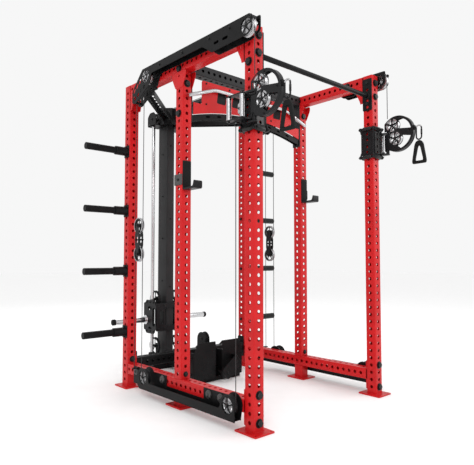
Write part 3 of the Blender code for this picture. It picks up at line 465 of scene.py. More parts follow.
# Small fittings
def bolt(shape, centre, axis, radius=1.02, height=0.6, finish=BOLT):
    """Washer and domed hex head standing on a face; axis points away from the face."""
    centre, axis = Vector(centre), Vector(axis)
    washer = 0.12
    shape.lathe([(0, 0), (radius, 0), (radius, washer * 0.7), (radius - 0.04, washer), (0, washer)],
        centre, axis, finish, 28)
    hexagon = radius * 0.82
    shape.lathe([(0, washer * 0.9), (hexagon, washer * 0.9), (hexagon, height * 0.8),
        (hexagon * 0.86, height), (0, height)], centre, axis, finish, 6)
    shape.lathe([(0, height), (hexagon * 0.42, height), (hexagon * 0.36, height + 0.05),
        (0, height + 0.06)], centre, axis, finish, 20)


def small_bolt(shape, centre, axis, radius=0.3, finish=BOLT):
    shape.lathe([(0, 0), (radius * 1.35, 0), (radius * 1.35, 0.05), (radius, 0.07), (radius, 0.2),
        (radius * 0.8, 0.27), (radius * 0.45, 0.27), (radius * 0.42, 0.16), (0, 0.16)], centre, axis,
        finish, 16)


def wheel(shape, centre, radius, hub, rim=SILVER, web=NYLON, dished=False):
    """Five-spoked cable wheel that turns about X; a dished one has a thin web between its spokes."""
    x, y, z = centre
    half = WHEEL_WIDTH / 2
    groove, band = 0.4, 0.44
    profile = [(radius - 0.24, -half), (radius - 0.05, -half), (radius, -half + 0.05),
        (radius, -half + 0.1), (radius - groove * 0.8, -0.12), (radius - groove, 0),
        (radius - groove * 0.8, 0.12), (radius, half - 0.1), (radius, half - 0.05), (radius - 0.05, half),
        (radius - 0.24, half), (radius - band, 0)]
    shape.lathe(profile, centre, (1, 0, 0), rim, 48, closed=True)
    inner = radius - band - 0.1
    shape.lathe([(inner, -half * 0.75), (inner + 0.08, -half * 0.98), (radius - 0.26, -half * 1.04),
        (radius - 0.2, -half * 0.9), (radius - 0.42, 0), (radius - 0.2, half * 0.9),
        (radius - 0.26, half * 1.04), (inner + 0.08, half * 0.98), (inner, half * 0.75)], centre,
        (1, 0, 0), web, 48, closed=True)
    shape.lathe([(0, -hub / 2), (0.26, -hub / 2), (0.3, -hub / 2 + 0.05), (0.3, -half), (0.4, -half),
        (0.44, -half + 0.06), (0.44, half - 0.06), (0.4, half), (0.3, half), (0.3, hub / 2 - 0.05),
        (0.26, hub / 2), (0, hub / 2)], centre, (1, 0, 0), web, 28)
    if dished:
        shape.lathe(rectangle(0, inner + 0.05, -0.07, 0.07), centre, (1, 0, 0), web, 40)
    for k in range(5):
        angle = math.radians(90 + 72 * k)
        along, across = Vector((math.cos(angle), math.sin(angle))), Vector((-math.sin(angle),
            math.cos(angle)))
        sizes = ((0.3, 0.2), (inner * 0.6, 0.1), (inner + 0.06, 0.22))
        points = [along * d + across * w for d, w in sizes]
        points += [along * d - across * w for d, w in reversed(sizes)]
        shape.plate([[(y + p.x, z + p.y) for p in points]], "yz", x - half * 0.3, x + half * 0.3, web,
            bevel=0.05)


def star_windows(centre, inner, outer, spoke=0):
    """Five openings between the spokes of a cheek; spoke widens the spokes, in degrees."""
    loops = []
    for k in range(5):
        middle = 126 + 72 * k
        loops.append(rounded(arc(centre, outer, middle - 31 + spoke, middle + 31 - spoke, 8)
            + arc(centre, inner, middle + 19 - spoke, middle - 19 + spoke, 3), 0.08, 2))
    return loops


def slot_outline(centre, length, height, angle=0):
    """A slot with round ends."""
    straight = (length - height) / 2
    points = [(straight + p[0], p[1]) for p in arc((0, 0), height / 2, -90, 90, 6)]
    points += [(-straight + p[0], p[1]) for p in arc((0, 0), height / 2, 90, 270, 6)]
    turn = Matrix.Rotation(math.radians(angle), 2)
    return [tuple(Vector(centre) + turn @ Vector(p)) for p in points]


# Frame
def add_floor_plate(shape, x, y):
    """Foot plate with four holes and a fillet weld round the post that stands on it."""
    feet = [circle((x + i * 2.35, y + j * 2.7), 0.28, 14) for i in (-1, 1) for j in (-1, 1)]
    shape.plate([panel(x - 2.95, x + 2.95, y - 3.4, y + 3.4)] + feet, "xy", 0, 0.375, RED, 0.05)
    path = [(u, v, 0.4) for u, v in rectangle(x - HALF, x + HALF, y - HALF, y + HALF)]
    fine = []
    for a, b in zip(path, path[1:] + path[:1]):
        a, b = Vector(a), Vector(b)
        fine += [a.lerp(b, k / 10) for k in range(10)]
    shape.tube(fine, 0.09, RED, 8, cyclic=True)


def add_posts(side, s):
    for row, y in ROWS.items():
        x = s * POST_X
        node = f"upright_{row}_{side}"
        low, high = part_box(node)
        top = high.z / INCH
        mid = row == "mid"
        bottom = low.z / INCH if mid else 0.3
        shape = Shape()
        count = int((top - FIRST_HOLE) // HOLE_STEP) + 1
        holes = [FIRST_HOLE + HOLE_STEP * k for k in range(count)]
        holes = [h for h in holes if bottom + 0.6 < h < top - 0.6]
        perforated_tube(shape, "z", bottom, top, (x, y), RED, holes)
        if not mid:
            add_floor_plate(shape, x, y)
        facing = {"front": -1, "rear": 1}.get(row)
        if facing:
            for z in (2.2, 8.2, 84.2, 88.2):
                bolt(shape, (x, y + facing * HALF, z), (0, facing, 0))
        for z in {"front": (82.2,), "mid": (76.2,), "rear": ()}[row]:
            bolt(shape, (x + s * HALF, y, z), (s, 0, 0))
        if mid:
            bolt(shape, (x, y - HALF, 84.2), (0, -1, 0))
        if row == "rear":
            add_pegs(shape, s, y)
        shape.finish(f"post_{row}_{side}", "frame", node)


def add_pegs(shape, s, y):
    """Plate pegs: collar, sleeve and a flat end cap."""
    face = s * (POST_X + HALF)
    for z in PEG_ZS:
        axis = (s, 0, 0)
        shape.box((face, y - 1.3, z - 1.8), (face + s * 0.25, y + 1.3, z + 1.8), BLACK, 0.08)
        start = (face + s * 0.2, y, z)
        collar = COLLAR_TIP - abs(face) - 0.2
        length = PEG_TIP - abs(face) - 0.2
        shape.lathe([(0, 0), (1.3, 0), (1.3, collar - 0.12), (1.2, collar), (1.0, collar),
            (1.0, length - 0.14), (0.96, length - 0.04), (0.88, length), (0.8, length),
            (0.78, length - 0.05), (0, length - 0.05)], start, axis, BLACK, 40)
        for rise in (1.55, -1.55):
            small_bolt(shape, (face + s * 0.25, y, z + rise), axis, 0.16)
        bolt(shape, (s * (POST_X - HALF), y, z), (-s, 0, 0), 0.55, 0.4)


def ear(shape, face, inward, x, bottom):
    """Pair of rounded ears that stiffen a top rail's end."""
    reach, top = 3.1, TOP - 3
    outline = [(face, top + WALL), (face + inward * reach, top + WALL)]
    for step in range(13):
        turn = math.radians(90 * step / 12)
        outline.append((face + inward * reach * (0.32 + 0.62 * math.cos(turn) ** 1.5),
            top - (top - bottom) * (0.35 * math.sin(turn) + 0.65 * (1 - math.cos(turn)))))
    outline.append((face, bottom))
    for d in (-1, 1):
        skin = x + d * HALF
        loops = [list(outline), circle((face + inward * 1.3, top - 1.2), 0.3, 16)]
        shape.plate(loops, "yz", skin, skin - d * 0.2, RED, 0.03)


def end_plate(shape, axes, face, inward, across, low, high, finish, holes=()):
    """Flange plate of a tube, one tube wide, with holes at the given heights."""
    loops = [panel(across - HALF, across + HALF, low, high)]
    loops += [circle((across, h), HOLE_R, 16) for h in holes]
    shape.plate(loops, axes, face, face + inward * FLANGE, finish)


def add_rails(side, s):
    start, end = ROWS["front"] + HALF + GAP, ROWS["rear"] - HALF - GAP
    holes = [start + 2.0 + 2.0 * k for k in range(25)]
    x = s * POST_X
    shape = Shape()
    z = TOP - HALF
    perforated_tube(shape, "y", start, end, (x, z), RED, holes, "13")
    for face, inward in ((start, 1), (end, -1)):
        end_plate(shape, "xz", face, inward, x, 82.6, TOP, RED)
        ear(shape, face, inward, x, 82.6)
    bolt(shape, (x + s * HALF, ROWS["mid"], 88.2), (s, 0, 0))
    for y in (8.5, 48.5):
        bolt(shape, (x - s * HALF, y, 88.9), (-s, 0, 0))
    shape.finish(f"rail_top_{side}", "frame", f"{side}_top_rail")
    shape = Shape()
    perforated_tube(shape, "y", start, end, (x, 5.5), RED, holes)
    for face, inward in ((start, 1), (end, -1)):
        end_plate(shape, "xz", face, inward, x, 1.4, 9.2, RED)
    for face, d in ((start + 0.26, 1), (end - 0.26, -1)):
        bolt(shape, (x, face, 8.15), (0, d, 0), 0.9)
    y = ROWS["mid"]
    perforated_tube(shape, "z", 0.3, 4.0, (x, y), RED, [])
    add_floor_plate(shape, x, y)
    shape.finish(f"rail_base_{side}", "frame", f"{side}_base_rail")
    add_mid_brackets(side, s)


def add_mid_brackets(side, s):
    """Ears and bolts where each mid post meets the rails."""
    x, y = s * POST_X, ROWS["mid"]
    shape = Shape()
    for d in (-1, 1):
        skin = x + d * (HALF + GAP)
        outline = symmetric(y, [(3.1, TOP - 3.0), (3.1, 86.0), (1.9, 83.6), (1.45, 82.9)])
        hole = circle((y, 86.2), 0.3, 14)
        shape.plate([rounded(outline, 0.7, 6), hole], "yz", skin, skin + d * 0.14, RED)
    bolt(shape, (x, y - HALF, 8.2), (0, -1, 0), 0.7, 0.45)
    shape.finish(f"mid_bracket_{side}", "frame")


def arch_z(x):
    return 79.2 - 3.0 * (x / 21.4) ** 2


def add_crossmembers():
    half = POST_X - HALF - GAP
    y = ROWS["mid"]
    shape = Shape()
    holes = [-20 + 2.0 * k for k in range(21) if abs(-20 + 2.0 * k) > 1]
    perforated_tube(shape, "x", -half, half, (y, TOP - HALF), MAST, holes)
    for s in (-1, 1):
        end_plate(shape, "yz", s * half, -s, y, 74.0, TOP, MAST)
    xs = [-half + 2 * half * i / 40 for i in range(41)]
    line = [(x, arch_z(x)) for x in xs] + [(x, arch_z(x) - 1.7) for x in reversed(xs)]
    slots = [slot_outline((x, arch_z(x) - 0.85), 1.4, 0.5, -15 * x / 21.4) for x in range(-16, 17, 4)]
    shape.plate([line] + slots, "xz", 27.35, 27.55, BLACK)
    shape.plate([line], "xz", 28.55, 28.75, BLACK)
    top = [(x, arch_z(x)) for x in xs] + [(x, arch_z(x) - 0.2) for x in reversed(xs)]
    shape.plate([top], "xz", 27.5, 28.6, BLACK)
    shape.finish("crossmember_top", "frame", "top_crossmember")
    shape = Shape()
    perforated_tube(shape, "x", -half, half, (ROWS["rear"], 6.7), BLACK, holes)
    for s in (-1, 1):
        end_plate(shape, "yz", s * half, -s, ROWS["rear"], 3.2, 10.2, BLACK)
    shape.finish("crossmember_rear", "frame", "rear_base_crossmember")


def add_sign():
    wide, narrow = 21.2, 18.35
    shoulder, crown = 79.7, 86.3
    xs = [-wide + 2 * wide * i / 40 for i in range(41)]
    outline = [(x, arch_z(x) + 0.08) for x in xs]
    outline += [(wide, shoulder), (narrow + 0.3, shoulder), (narrow, shoulder + 0.3),
        (narrow, crown - 0.4), (narrow - 0.4, crown), (-narrow + 0.4, crown), (-narrow, crown - 0.4),
        (-narrow, shoulder + 0.3), (-narrow - 0.3, shoulder), (-wide, shoulder)]
    bars = []
    for x in (-11.2, -5.6, 0, 5.6, 11.2):
        bars.append(rounded([(x - 1.9, 81.0), (x + 1.3, 81.0), (x + 1.9, 85.0), (x - 1.3, 85.0)], 0.5))
    shape = Shape()
    shape.plate([outline] + bars, "xz", SIGN_Y, SIGN_Y + 0.12, RED, 0.02)
    shape.plate([rectangle(-14, 14, 80.7, 85.3)], "xz", 27.21, 27.27, BLACK, 0.01)
    for x in (-16.8, -8.4, 0, 8.4, 16.8):
        for z in (85.7, 80.0):
            small_bolt(shape, (x, SIGN_Y, z), (0, -1, 0), 0.2)
    shape.finish("sign", "frame", "sign_panel")


def add_pull_up_bar():
    half = POST_X - HALF - GAP
    y, z = ROWS["front"], 84.4
    shape = Shape()
    shape.rod((-half + 0.1, y, z), (half - 0.1, y, z), 0.65, BLACK, 40)
    for s in (-1, 1):
        end_plate(shape, "yz", s * half, -s, y, 80.2, 89.4, BLACK, (81.2, 83.0, 86.2, 88.2))
        shape.lathe([(0.65, 0), (0.95, 0), (0.86, 0.12), (0.68, 0.26), (0.65, 0.26)],
            (s * (half - 0.25), y, z), (-s, 0, 0), BLACK, 40, closed=True)
        for h in (82.2, 88.2):
            bolt(shape, (s * (half - 0.25), y, h), (-s, 0, 0), 0.55, 0.4)
    shape.finish("bar_pull_up", "frame", "pull_up_bar")


# Cable station
def add_mast():
    shape = Shape()
    z0, z1 = 2.65, 87.5
    y0, y1 = 68.6, 74.2
    outline = panel(-HALF, HALF, y0, y1)
    inner = panel(-HALF + WALL, HALF - WALL, y0 + WALL, y1 - WALL, 0.2)
    shape.plate([outline, inner], "xy", z0, z1, MAST, 0.03)
    for z in (30.0, 45.0, 60.0, 75.0):
        for s in (-1, 1):
            small_bolt(shape, (s * HALF, 71.4, z), (s, 0, 0), 0.25)
    for z in (28, 52, 78):
        small_bolt(shape, (0, y0, z), (0, -1, 0), 0.25)
    shape.finish("mast_tube", "frame", "mast")
    for side, s in SIDES.items():
        shape = Shape()
        shape.rod((s * ROD_X, ROD_Y, z0), (s * ROD_X, ROD_Y, 84.78), 0.6, CHROME, 40)
        shape.lathe([(0.62, 0), (0.95, 0), (0.95, 0.5), (0.85, 0.62), (0.62, 0.62)],
            (s * ROD_X, ROD_Y, z0 + 0.02), (0, 0, 1), BLACK, 32, closed=True)
        shape.lathe([(0.62, 0), (1.05, 0.05), (1.1, 0.3), (1.1, 1.7), (1.05, 1.95), (0.62, 2.0)],
            (s * ROD_X, ROD_Y, z0 + 0.7), (0, 0, 1), RUBBER, 32, closed=True)
        shape.finish(f"rod_{side}", "frame", f"{side}_guide_rod")


def add_mast_head():
    shape = Shape()
    z0, z1 = 84.8, 89.6
    x = 5.95
    for s in (-1, 1):
        cheek = rounded(symmetric(ROD_Y, [(2.6, z0), (2.6, z1 - 1.4), (1.2, z1)]), 0.5)
        for skin, thick in ((s * x, -s * 0.25), (s * 2.55, s * 0.25)):
            loops = [list(cheek), circle((73.9, 85.6), 0.25, 14)]
            shape.plate(loops, "yz", skin, skin + thick, BLACK)
            small_bolt(shape, (skin, 72.0, 87.2), (math.copysign(1, -thick), 0, 0), 0.4)
        wheel(shape, (s * LIFT_X, ROD_Y, 87.2), 2.3, 2.6, rim=NYLON)
        shape.plate([panel(s * 1.5, s * x, 69.4, 74.6), circle((s * 3.8, 69.9), 0.2, 12),
            circle((s * 3.8, 74.1), 0.2, 12)], "xy", z0, z0 + 0.25, BLACK)
        shape.box((s * 1.5, 73.9, z1 - 1.6), (s * x, 74.1, z1 - 1.4), BLACK)
        nose = panel(s * 1.0, s * 1.35, 84.7, TOP - 0.05, 0.05)
        shape.plate([nose], "xz", 64.4, 70.5, BLACK)
        wing = [(s * 2.6, 64.3), (s * 4.6, 66.3), (s * 4.6, 68.4), (s * 4.35, 68.4), (s * 4.35, 66.4),
            (s * 2.5, 64.55), (s * 1.2, 64.55), (s * 1.2, 64.3)]
        shape.plate([wing], "xy", 84.7, TOP - 0.1, BLACK)
        for z in (86.3, 89.0):
            small_bolt(shape, (s * 3.5, 65.2, z), (s * 0.7, -0.7, 0), 0.3)
    wheel(shape, (0, LAT_REAR_Y, LAT_Z), LAT_WHEEL_R, 2.0)
    shape.box((-1.2, 64.3, 84.7), (1.2, 64.55, 87.0), BLACK)
    cap = panel(-1.55, 1.55, 68.55, 74.25)
    shape.plate([cap], "xy", 87.5, 87.75, MAST)
    shape.finish("mast_head_block", "frame", "mast_head")
    shape = Shape()
    start, end = ROWS["mid"] + HALF + GAP, 64.28
    perforated_tube(shape, "y", start, end, (0, TOP - HALF), MAST, [start + 2.0 + 2.0 * k
        for k in range(16)], "13")
    outline = panel(-3.2, 3.2, TOP - 3, TOP)
    shape.plate([outline], "xz", start, start + 0.25, MAST)
    for s in (-1, 1):
        small_bolt(shape, (s * 2.4, start + 0.25, TOP - 1.5), (0, 1, 0), 0.32)
    shape.finish("boom", "frame", "lat_boom")


def add_rear_arms(side, s):
    """Slotted channels from the side rails to the mast head, at 45 degrees in plan."""
    top = TOP - 3 - 0.25
    a, b = Vector((s * 23.0, 45.9)), Vector((s * 3.6, 65.3))
    along = (b - a).normalized()
    across = Vector((-along.y, along.x))
    length = (b - a).length - 0.1
    shape = Shape()

    def bar(lo, hi, z0, z1, wide0, wide1, finish=BLACK, holes=()):
        ring = [a + along * lo + across * wide0, a + along * hi + across * wide0,
            a + along * hi + across * wide1, a + along * lo + across * wide1]
        shape.plate([[tuple(p) for p in ring]] + [[tuple(a + along * u + across * v) for u, v in hole]
            for hole in holes], "xy", z0, z1, finish)

    slots = [slot_outline((length * (i + 1.6) / 10 + 0.8, 0), 1.9, 1.1) for i in range(8)]
    bar(0, length, top - 0.16, top, -1.35, 1.35, BLACK, slots)
    bar(0, length, top - 2.1, top - 0.1, -1.35, -1.19)
    bar(0, length, top - 2.1, top - 0.1, 1.19, 1.35)
    pad = panel(s * 21.85, s * 24.85, 43.2, 49.0)
    shape.plate([pad], "xy", top - 0.02, top + 0.23, BLACK)
    for y in (44.2, 48.0):
        small_bolt(shape, (s * 23.35, y, top - 0.02), (0, 0, -1), 0.32)
    shape.finish(f"arm_{side}", "frame", f"{side}_rear_arm")


def add_base():
    """Floor tube, mast foot, foot plates and the low pulley's housing."""
    shape = Shape()
    shape.plate([panel(-HALF, HALF, 1.0, 4.0, 0.25), panel(-1.3, 1.3, 1.2, 3.8, 0.15)], "xz", 43.5, 68.4,
        BLACK)
    foot = panel(-7, 7, 68, 76, 0.4)
    shape.plate([foot], "xy", 0, 0.4, BLACK)
    curb = rounded(symmetric(0, [(6.8, 0.3), (6.8, 2.3), (6.2, 2.6)]), 0.1)
    shape.plate([curb], "xz", 68.2, 75.8, BLACK, 0.06)
    shape.box((-10, 43.0, 0), (10, 45.5, 1.3), BLACK, 0.1)
    y, z = 49.5, 12.2
    for s in (-1, 1):
        outline = [(y + 2.6, 1.5)] + arc((y, z), 2.15, 0, 180, 20) + [(y - 2.9, 1.5)]
        slots = [circle((y, z), 0.2, 12), circle((y + 1.2, 5.0), 0.4, 14),
            circle((y - 1.2, 5.0), 0.4, 14)]
        shape.plate([outline] + slots, "yz", s * 0.62, s * 0.85, BLACK)
        small_bolt(shape, (s * 0.85, y, z), (s, 0, 0), 0.4)
        shape.box((s * 3.05, 71.2, 2.0), (s * 2.8, 72.8, 8.3), BLACK, 0.08)
        small_bolt(shape, (s * 2.8, 72.0, 7.5), (-s, 0, 0), 0.32)
        add_foot_plate(shape, s)
    guard = rounded(symmetric(0, [(1.3, 1.3), (1.3, 9.4), (0.7, 10.2)]), 0.3)
    shape.plate([guard, circle((0, 3.2), 0.3, 14), circle((0, 8.0), 0.3, 14)], "xz", 44.2, 44.4, BLACK)
    wheel(shape, (0, y, z), LAT_WHEEL_R, 1.2, rim=STEEL)
    shape.tube([(0, y - 1.72, z), (0, 47.75, 11.6), (0, 47.6, 11.0)], 0.09, CABLE, 10)
    shape.lathe([(0, 0), (0.3, 0.05), (0.42, 0.3), (0.42, 0.7), (0.3, 0.95), (0, 1.0)], (0, 47.6, 10.1),
        (0, 0, 1), RUBBER, 24)
    shape.finish("base_frame", "frame", "base_spine")


def add_foot_plate(shape, s):
    """Folded tread plate with raised ribs, on a triangular brace."""
    near, far = 1.35, 9.55
    face = [(s * near, 1.35), (s * far, 1.35), (s * far, 9.6), (s * (far - 1.6), 12.4), (s * near, 12.4)]
    shape.plate([rounded(face, 0.35)], "xz", 41.6, 41.8, BLACK)
    for row in range(5):
        for column in range(4):
            x, z = s * (near + 1.3 + 1.8 * column), 2.7 + 1.75 * row
            tilt = 45 if (row + column) % 2 else -45
            shape.plate([slot_outline((x, z), 1.1, 0.28, tilt)], "xz", 41.6, 41.54, BLACK, 0.02)
    fold = rounded([(41.62, 12.4), (41.82, 12.4), (43.3, 11.2), (43.1, 11.05)], 0.05)
    shape.plate([fold], "yz", s * near, s * (far - 1.6), BLACK)
    for x in (near + 0.2, far):
        shape.box((s * x, 41.65, 1.4), (s * (x - 0.2), 44.4, 9.6), BLACK, 0.06)
    for z in (3.0, 8.0):
        small_bolt(shape, (s * far, 43.2, z), (s, 0, 0), 0.3)
    if s > 0:
        add_step_pad(shape)
    rib = [(41.7, 1.0), (45.3, 1.0), (45.3, 2.0), (42.6, 7.0), (41.7, 7.0)]
    shape.plate([rib], "yz", s * 5.0, s * 5.2, BLACK)


def add_step_pad(shape):
    """Folding tread in front of the right foot plate, turned down on its bracket."""
    middle, turn = Vector((3.2, 4.4)), Matrix.Rotation(math.radians(38), 2)

    def turned(points):
        return [tuple(middle + turn @ Vector(p)) for p in points]

    pad = panel(-3.6, 3.6, -1.9, 1.9, 0.5)
    shape.plate([turned(pad)], "xz", 38.9, 39.3, BLACK, 0.08)
    for k in range(5):
        shape.plate([turned(slot_outline((-2.6 + 1.3 * k, 0), 2.6, 0.35, 90))], "xz", 38.9, 38.82, RUBBER,
            0.03)
    for u in (-3.4, 3.4):
        flange = rectangle(u - 0.1, u + 0.1, -1.7, 1.7)
        shape.plate([turned(flange)], "xz", 39.2, 41.6, BLACK, 0.05)
    for u in (-2.4, 2.4):
        x, z = turned([(u, 0)])[0]
        small_bolt(shape, (x, 38.9, z), (0, -1, 0), 0.3)


# Side channels
def add_channels(side, s):
    x = s * CABLE_X
    shape = Shape()
    top, thin, deep = 91.55, 89.3, 86.8
    plate = [(-2.4, top), (-2.4, 88.0), (0.5, deep), (12.0, deep), (14.0, 88.3), (15.6, thin),
        (37.0, thin), (39.0, 86.0), (46.9, 82.0), (49.0, 82.6), (48.9, 86.4), (43.4, top)]
    hubs = [(FRONT_TOP_Y, TOP_Z), (REAR_Y, TOP_Z)]
    slots = star_windows(hubs[0], 0.5, 1.7) + [slot_outline((42.0 + 2.0 * i, 86.0 - 0.7 * i), 1.3, 0.7,
        110) for i in range(4)]
    shape.plate([rounded(plate, 0.5)] + slots, "yz", s * INNER, s * BACK, BLACK)
    cover = [(-1.2, top), (-2.0, TOP_Z + 1.2), (-2.0, 88.0), (-0.6, deep + 0.2), (12.0, deep),
        (14.0, 88.3), (15.6, thin), (38.4, thin), (39.4, 86.4), (46.9, 82.4), (48.6, 83.0), (48.6, 86.4),
        (43.2, top)]
    holes = [slot_outline((7.0, 88.7), 2.0, 0.7), slot_outline((10.2, 88.7), 1.8, 0.7)]
    holes += star_windows(hubs[0], 0.45, 1.72) + star_windows(hubs[1], 0.45, 1.72)
    holes += [slot_outline((44.4 + 1.5 * i, 88.4 - 1.0 * i), 1.5, 0.7, 120) for i in range(3)]
    holes += [slot_outline((42.2 + 1.6 * i, 86.3 - 0.75 * i), 1.2, 0.7, 120) for i in range(4)]
    holes += [circle((47.7, 84.6), 0.28, 12)]
    shape.plate([rounded(cover, 0.45)] + holes, "yz", s * SKIN, s * OUTER, BLACK)
    shape.box((s * INNER, -1.2, top - 0.15), (s * OUTER, 43.2, top), BLACK)
    shape.box((s * INNER, 46.97, 82.8), (s * 26.9, 47.9, 83.2), BLACK)
    small_bolt(shape, (s * 26.4, 47.44, 83.2), (0, 0, 1), 0.28)
    for y in (5.5, 13.0, 24.0, 34.5):
        small_bolt(shape, (s * OUTER, y, 90.5), (s, 0, 0), 0.3)
    shape.rod((s * BACK, -1.6, 90.7), (s * OUTER, -1.6, 90.7), 0.3, BOLT, 20)
    small_bolt(shape, (s * OUTER, -1.6, 90.7), (s, 0, 0), 0.42)
    wheel(shape, (x, REAR_Y, TOP_Z), WHEEL_R, 1.9, web=SILVER, dished=True)
    shape.finish(f"channel_top_{side}", "frame", f"{side}_top_channel")
    shape = Shape()
    low, high, tab = 2.2, 4.3, 7.0
    lobe = arc((REAR_Y, BASE_Z), 2.6, 35, 145, 14)
    front = arc((FRONT_BASE_Y, BASE_Z), 2.6, 40, 205, 16)
    outline = [(4.2, low), (50.0, low), (50.0, tab), (46.0, tab)] + lobe
    outline += [(38.0, tab), (33.2, tab), (33.2, high), (17.4, high), (17.4, tab), (9.0, tab)] + front
    shape.plate([outline], "yz", s * INNER, s * BACK, BLACK)
    shape.box((s * INNER, 4.4, low), (s * OUTER, 43.2, low + 0.15), BLACK)
    cover = [(3.6, low), (43.2, low), (44.1, low + 0.8)]
    cover += arc((REAR_Y, BASE_Z), 2.55, -5, 150, 16) + [(38.4, high), (9.2, high)]
    cover += arc((FRONT_BASE_Y, BASE_Z), 2.45, -10, 190, 22) + [(3.7, high - 0.4)]
    pins = star_windows((REAR_Y, BASE_Z), 0.45, 1.8) + star_windows((FRONT_BASE_Y, BASE_Z), 0.45, 1.8)
    shape.plate([cover] + pins, "yz", s * SKIN, s * OUTER, BLACK)
    for y in (REAR_Y, FRONT_BASE_Y):
        small_bolt(shape, (s * OUTER, y, BASE_Z), (s, 0, 0), 0.3)
    shape.box((s * INNER, 46.97, 6.7), (s * 26.9, 47.9, 7.0), BLACK)
    for y in (10.9, 15.3, 35.0, 48.3):
        shape.lathe([(0, 0), (1.05, 0), (1.05, 0.1), (0.95, 0.35), (0.7, 0.5), (0, 0.55)],
            (s * BACK, y, 5.7), (s, 0, 0), PLATE, 32)
        bolt(shape, (s * (INNER + 0.65), y, 5.7), (s, 0, 0), 0.5, 0.3, PLATE)
    shape.finish(f"channel_base_{side}", "frame", f"{side}_base_channel")


def add_channel_wheels(side, s):
    for key, y, z in (("front_top", FRONT_TOP_Y, TOP_Z), ("front_base", FRONT_BASE_Y, BASE_Z),
            ("rear_base", REAR_Y, BASE_Z)):
        shape = Shape()
        wheel(shape, (s * CABLE_X, y, z), WHEEL_R, 1.4, SILVER if key == "front_top" else STEEL, SILVER,
            dished=True)
        shape.finish(f"wheel_{key}_{side}", f"{side}_{key}_wheel", f"{side}_{key}_pulley")
    shape = Shape()
    wheel(shape, (s * LIFT_X, ROD_Y, 7.5), MAST_WHEEL_R, 1.15, rim=STEEL)
    shape.finish(f"wheel_mast_{side}", f"{side}_mast_wheel", f"{side}_mast_pulley")


def add_lat_wheel():
    shape = Shape()
    wheel(shape, (0, LAT_Y, LAT_Z), LAT_WHEEL_R, 1.0)
    shape.finish("wheel_lat_front", "front_lat_wheel", "front_lat_pulley")


# Fittings and moving pieces
def add_j_cups(side, s):
    front = ROWS["mid"] - HALF - GAP
    shape = Shape()
    low, high = 55.8, 63.5
    outline = panel(s * 22.1, s * 24.7, low, high, 0.35)
    shape.plate([outline], "xz", front, front - 0.25, STEEL)
    shape.box((s * 22.15, front - 0.25, low + 0.6), (s * 24.65, front - 0.3, high - 0.2), RUBBER, 0.02)
    profile = rounded([(front - 0.05, low), (front - 5.1, low + 0.02), (front - 5.1, low + 1.9),
        (front - 4.75, low + 2.1), (front - 4.3, low + 0.6), (front - 0.1, low + 0.45)], 0.5)
    shape.plate([profile], "yz", s * 22.1, s * 24.7, STEEL, 0.06)
    shape.box((s * 22.2, front - 0.35, low + 0.45), (s * 24.6, front - 4.65, low + 0.52), RUBBER, 0.02)
    strap = panel(front - 0.2, 30.2, 57.05, 59.95, 0.25)
    shape.plate([strap], "yz", s * (POST_X + HALF + GAP), s * 25.08, PLATE)
    small_bolt(shape, (s * 25.06, 28.5, 58.5), (s, 0, 0), 0.3)
    shape.finish(f"j_cup_{side}", "frame", f"{side}_j_cup")


def add_trolleys(side, s):
    x, y = s * POST_X, ROWS["front"]
    z0, z1 = 67.3, 74.2
    shape = Shape()
    reach, inside = 2.0, 1.8
    heights = (68.15, 69.75, 71.75, 73.35)
    across, along = ([circle((middle, z), 0.4, 16) for z in heights] for middle in (x, y))
    for d in (-1, 1):
        wall = panel(x - reach, x + reach, z0, z1, 0.12)
        shape.plate([wall] + across, "xz", y + d * reach, y + d * inside, STEEL)
        wall = panel(y - reach, y + reach, z0, z1, 0.12)
        shape.plate([wall] + along, "yz", x + d * reach, x + d * inside, STEEL)
        for e in (-1, 1):
            shape.rod((x + d * 1.9, y + e * 1.9, z0), (x + d * 1.9, y + e * 1.9, z1), 0.16, STEEL, 16)
    for d in (-1, 1):
        skin = y + d * reach
        cover = panel(x - 1.05, x + 1.05, z0 + 0.35, z1 - 0.35, 0.2)
        shape.plate([cover] + across, "xz", skin, skin + d * 0.12, PLATE)
    for d in (-1, 1):
        skin = x + d * reach
        cover = panel(y - 1.3, y + 1.3, z0 + 0.3, z1 - 0.3, 0.25)
        shape.plate([cover] + along, "yz", skin, skin + d * 0.1, STEEL)
        for z in (68.6, 72.9):
            for v in (-0.9, 0.9):
                small_bolt(shape, (skin + d * 0.1, y + v, z), (d, 0, 0), 0.2)
    add_rollers(shape, x, y)
    for z in (67.4, 73.35):
        lug = rounded([(s * 26.9, -2.5), (s * 25.9, -2.5), (s * 25.1, -0.9), (s * 25.1, -0.3),
            (s * 26.9, -0.3)], 0.3)
        shape.plate([lug, circle((s * CABLE_X, -2.0), 0.2, 14)], "xy", z, z + 0.45, STEEL)
        shape.box((s * 25.25, -0.6, z + 0.05), (s * 26.7, 0.4, z + 0.4), STEEL)
    shape.lathe(ring_profile(0.16, 0.38, 0.6), (s * CABLE_X, 4.2, 67.6), (0, 0, 1), STEEL, 24,
        closed=True)
    shape.box((s * 26.15, 4.0, 67.65), (s * 25.2, 3.2, 68.15), STEEL)
    shape.finish(f"trolley_sleeve_{side}", f"{side}_trolley", f"{side}_trolley")
    add_grips(side, s)
    add_pop_pin(side, s)


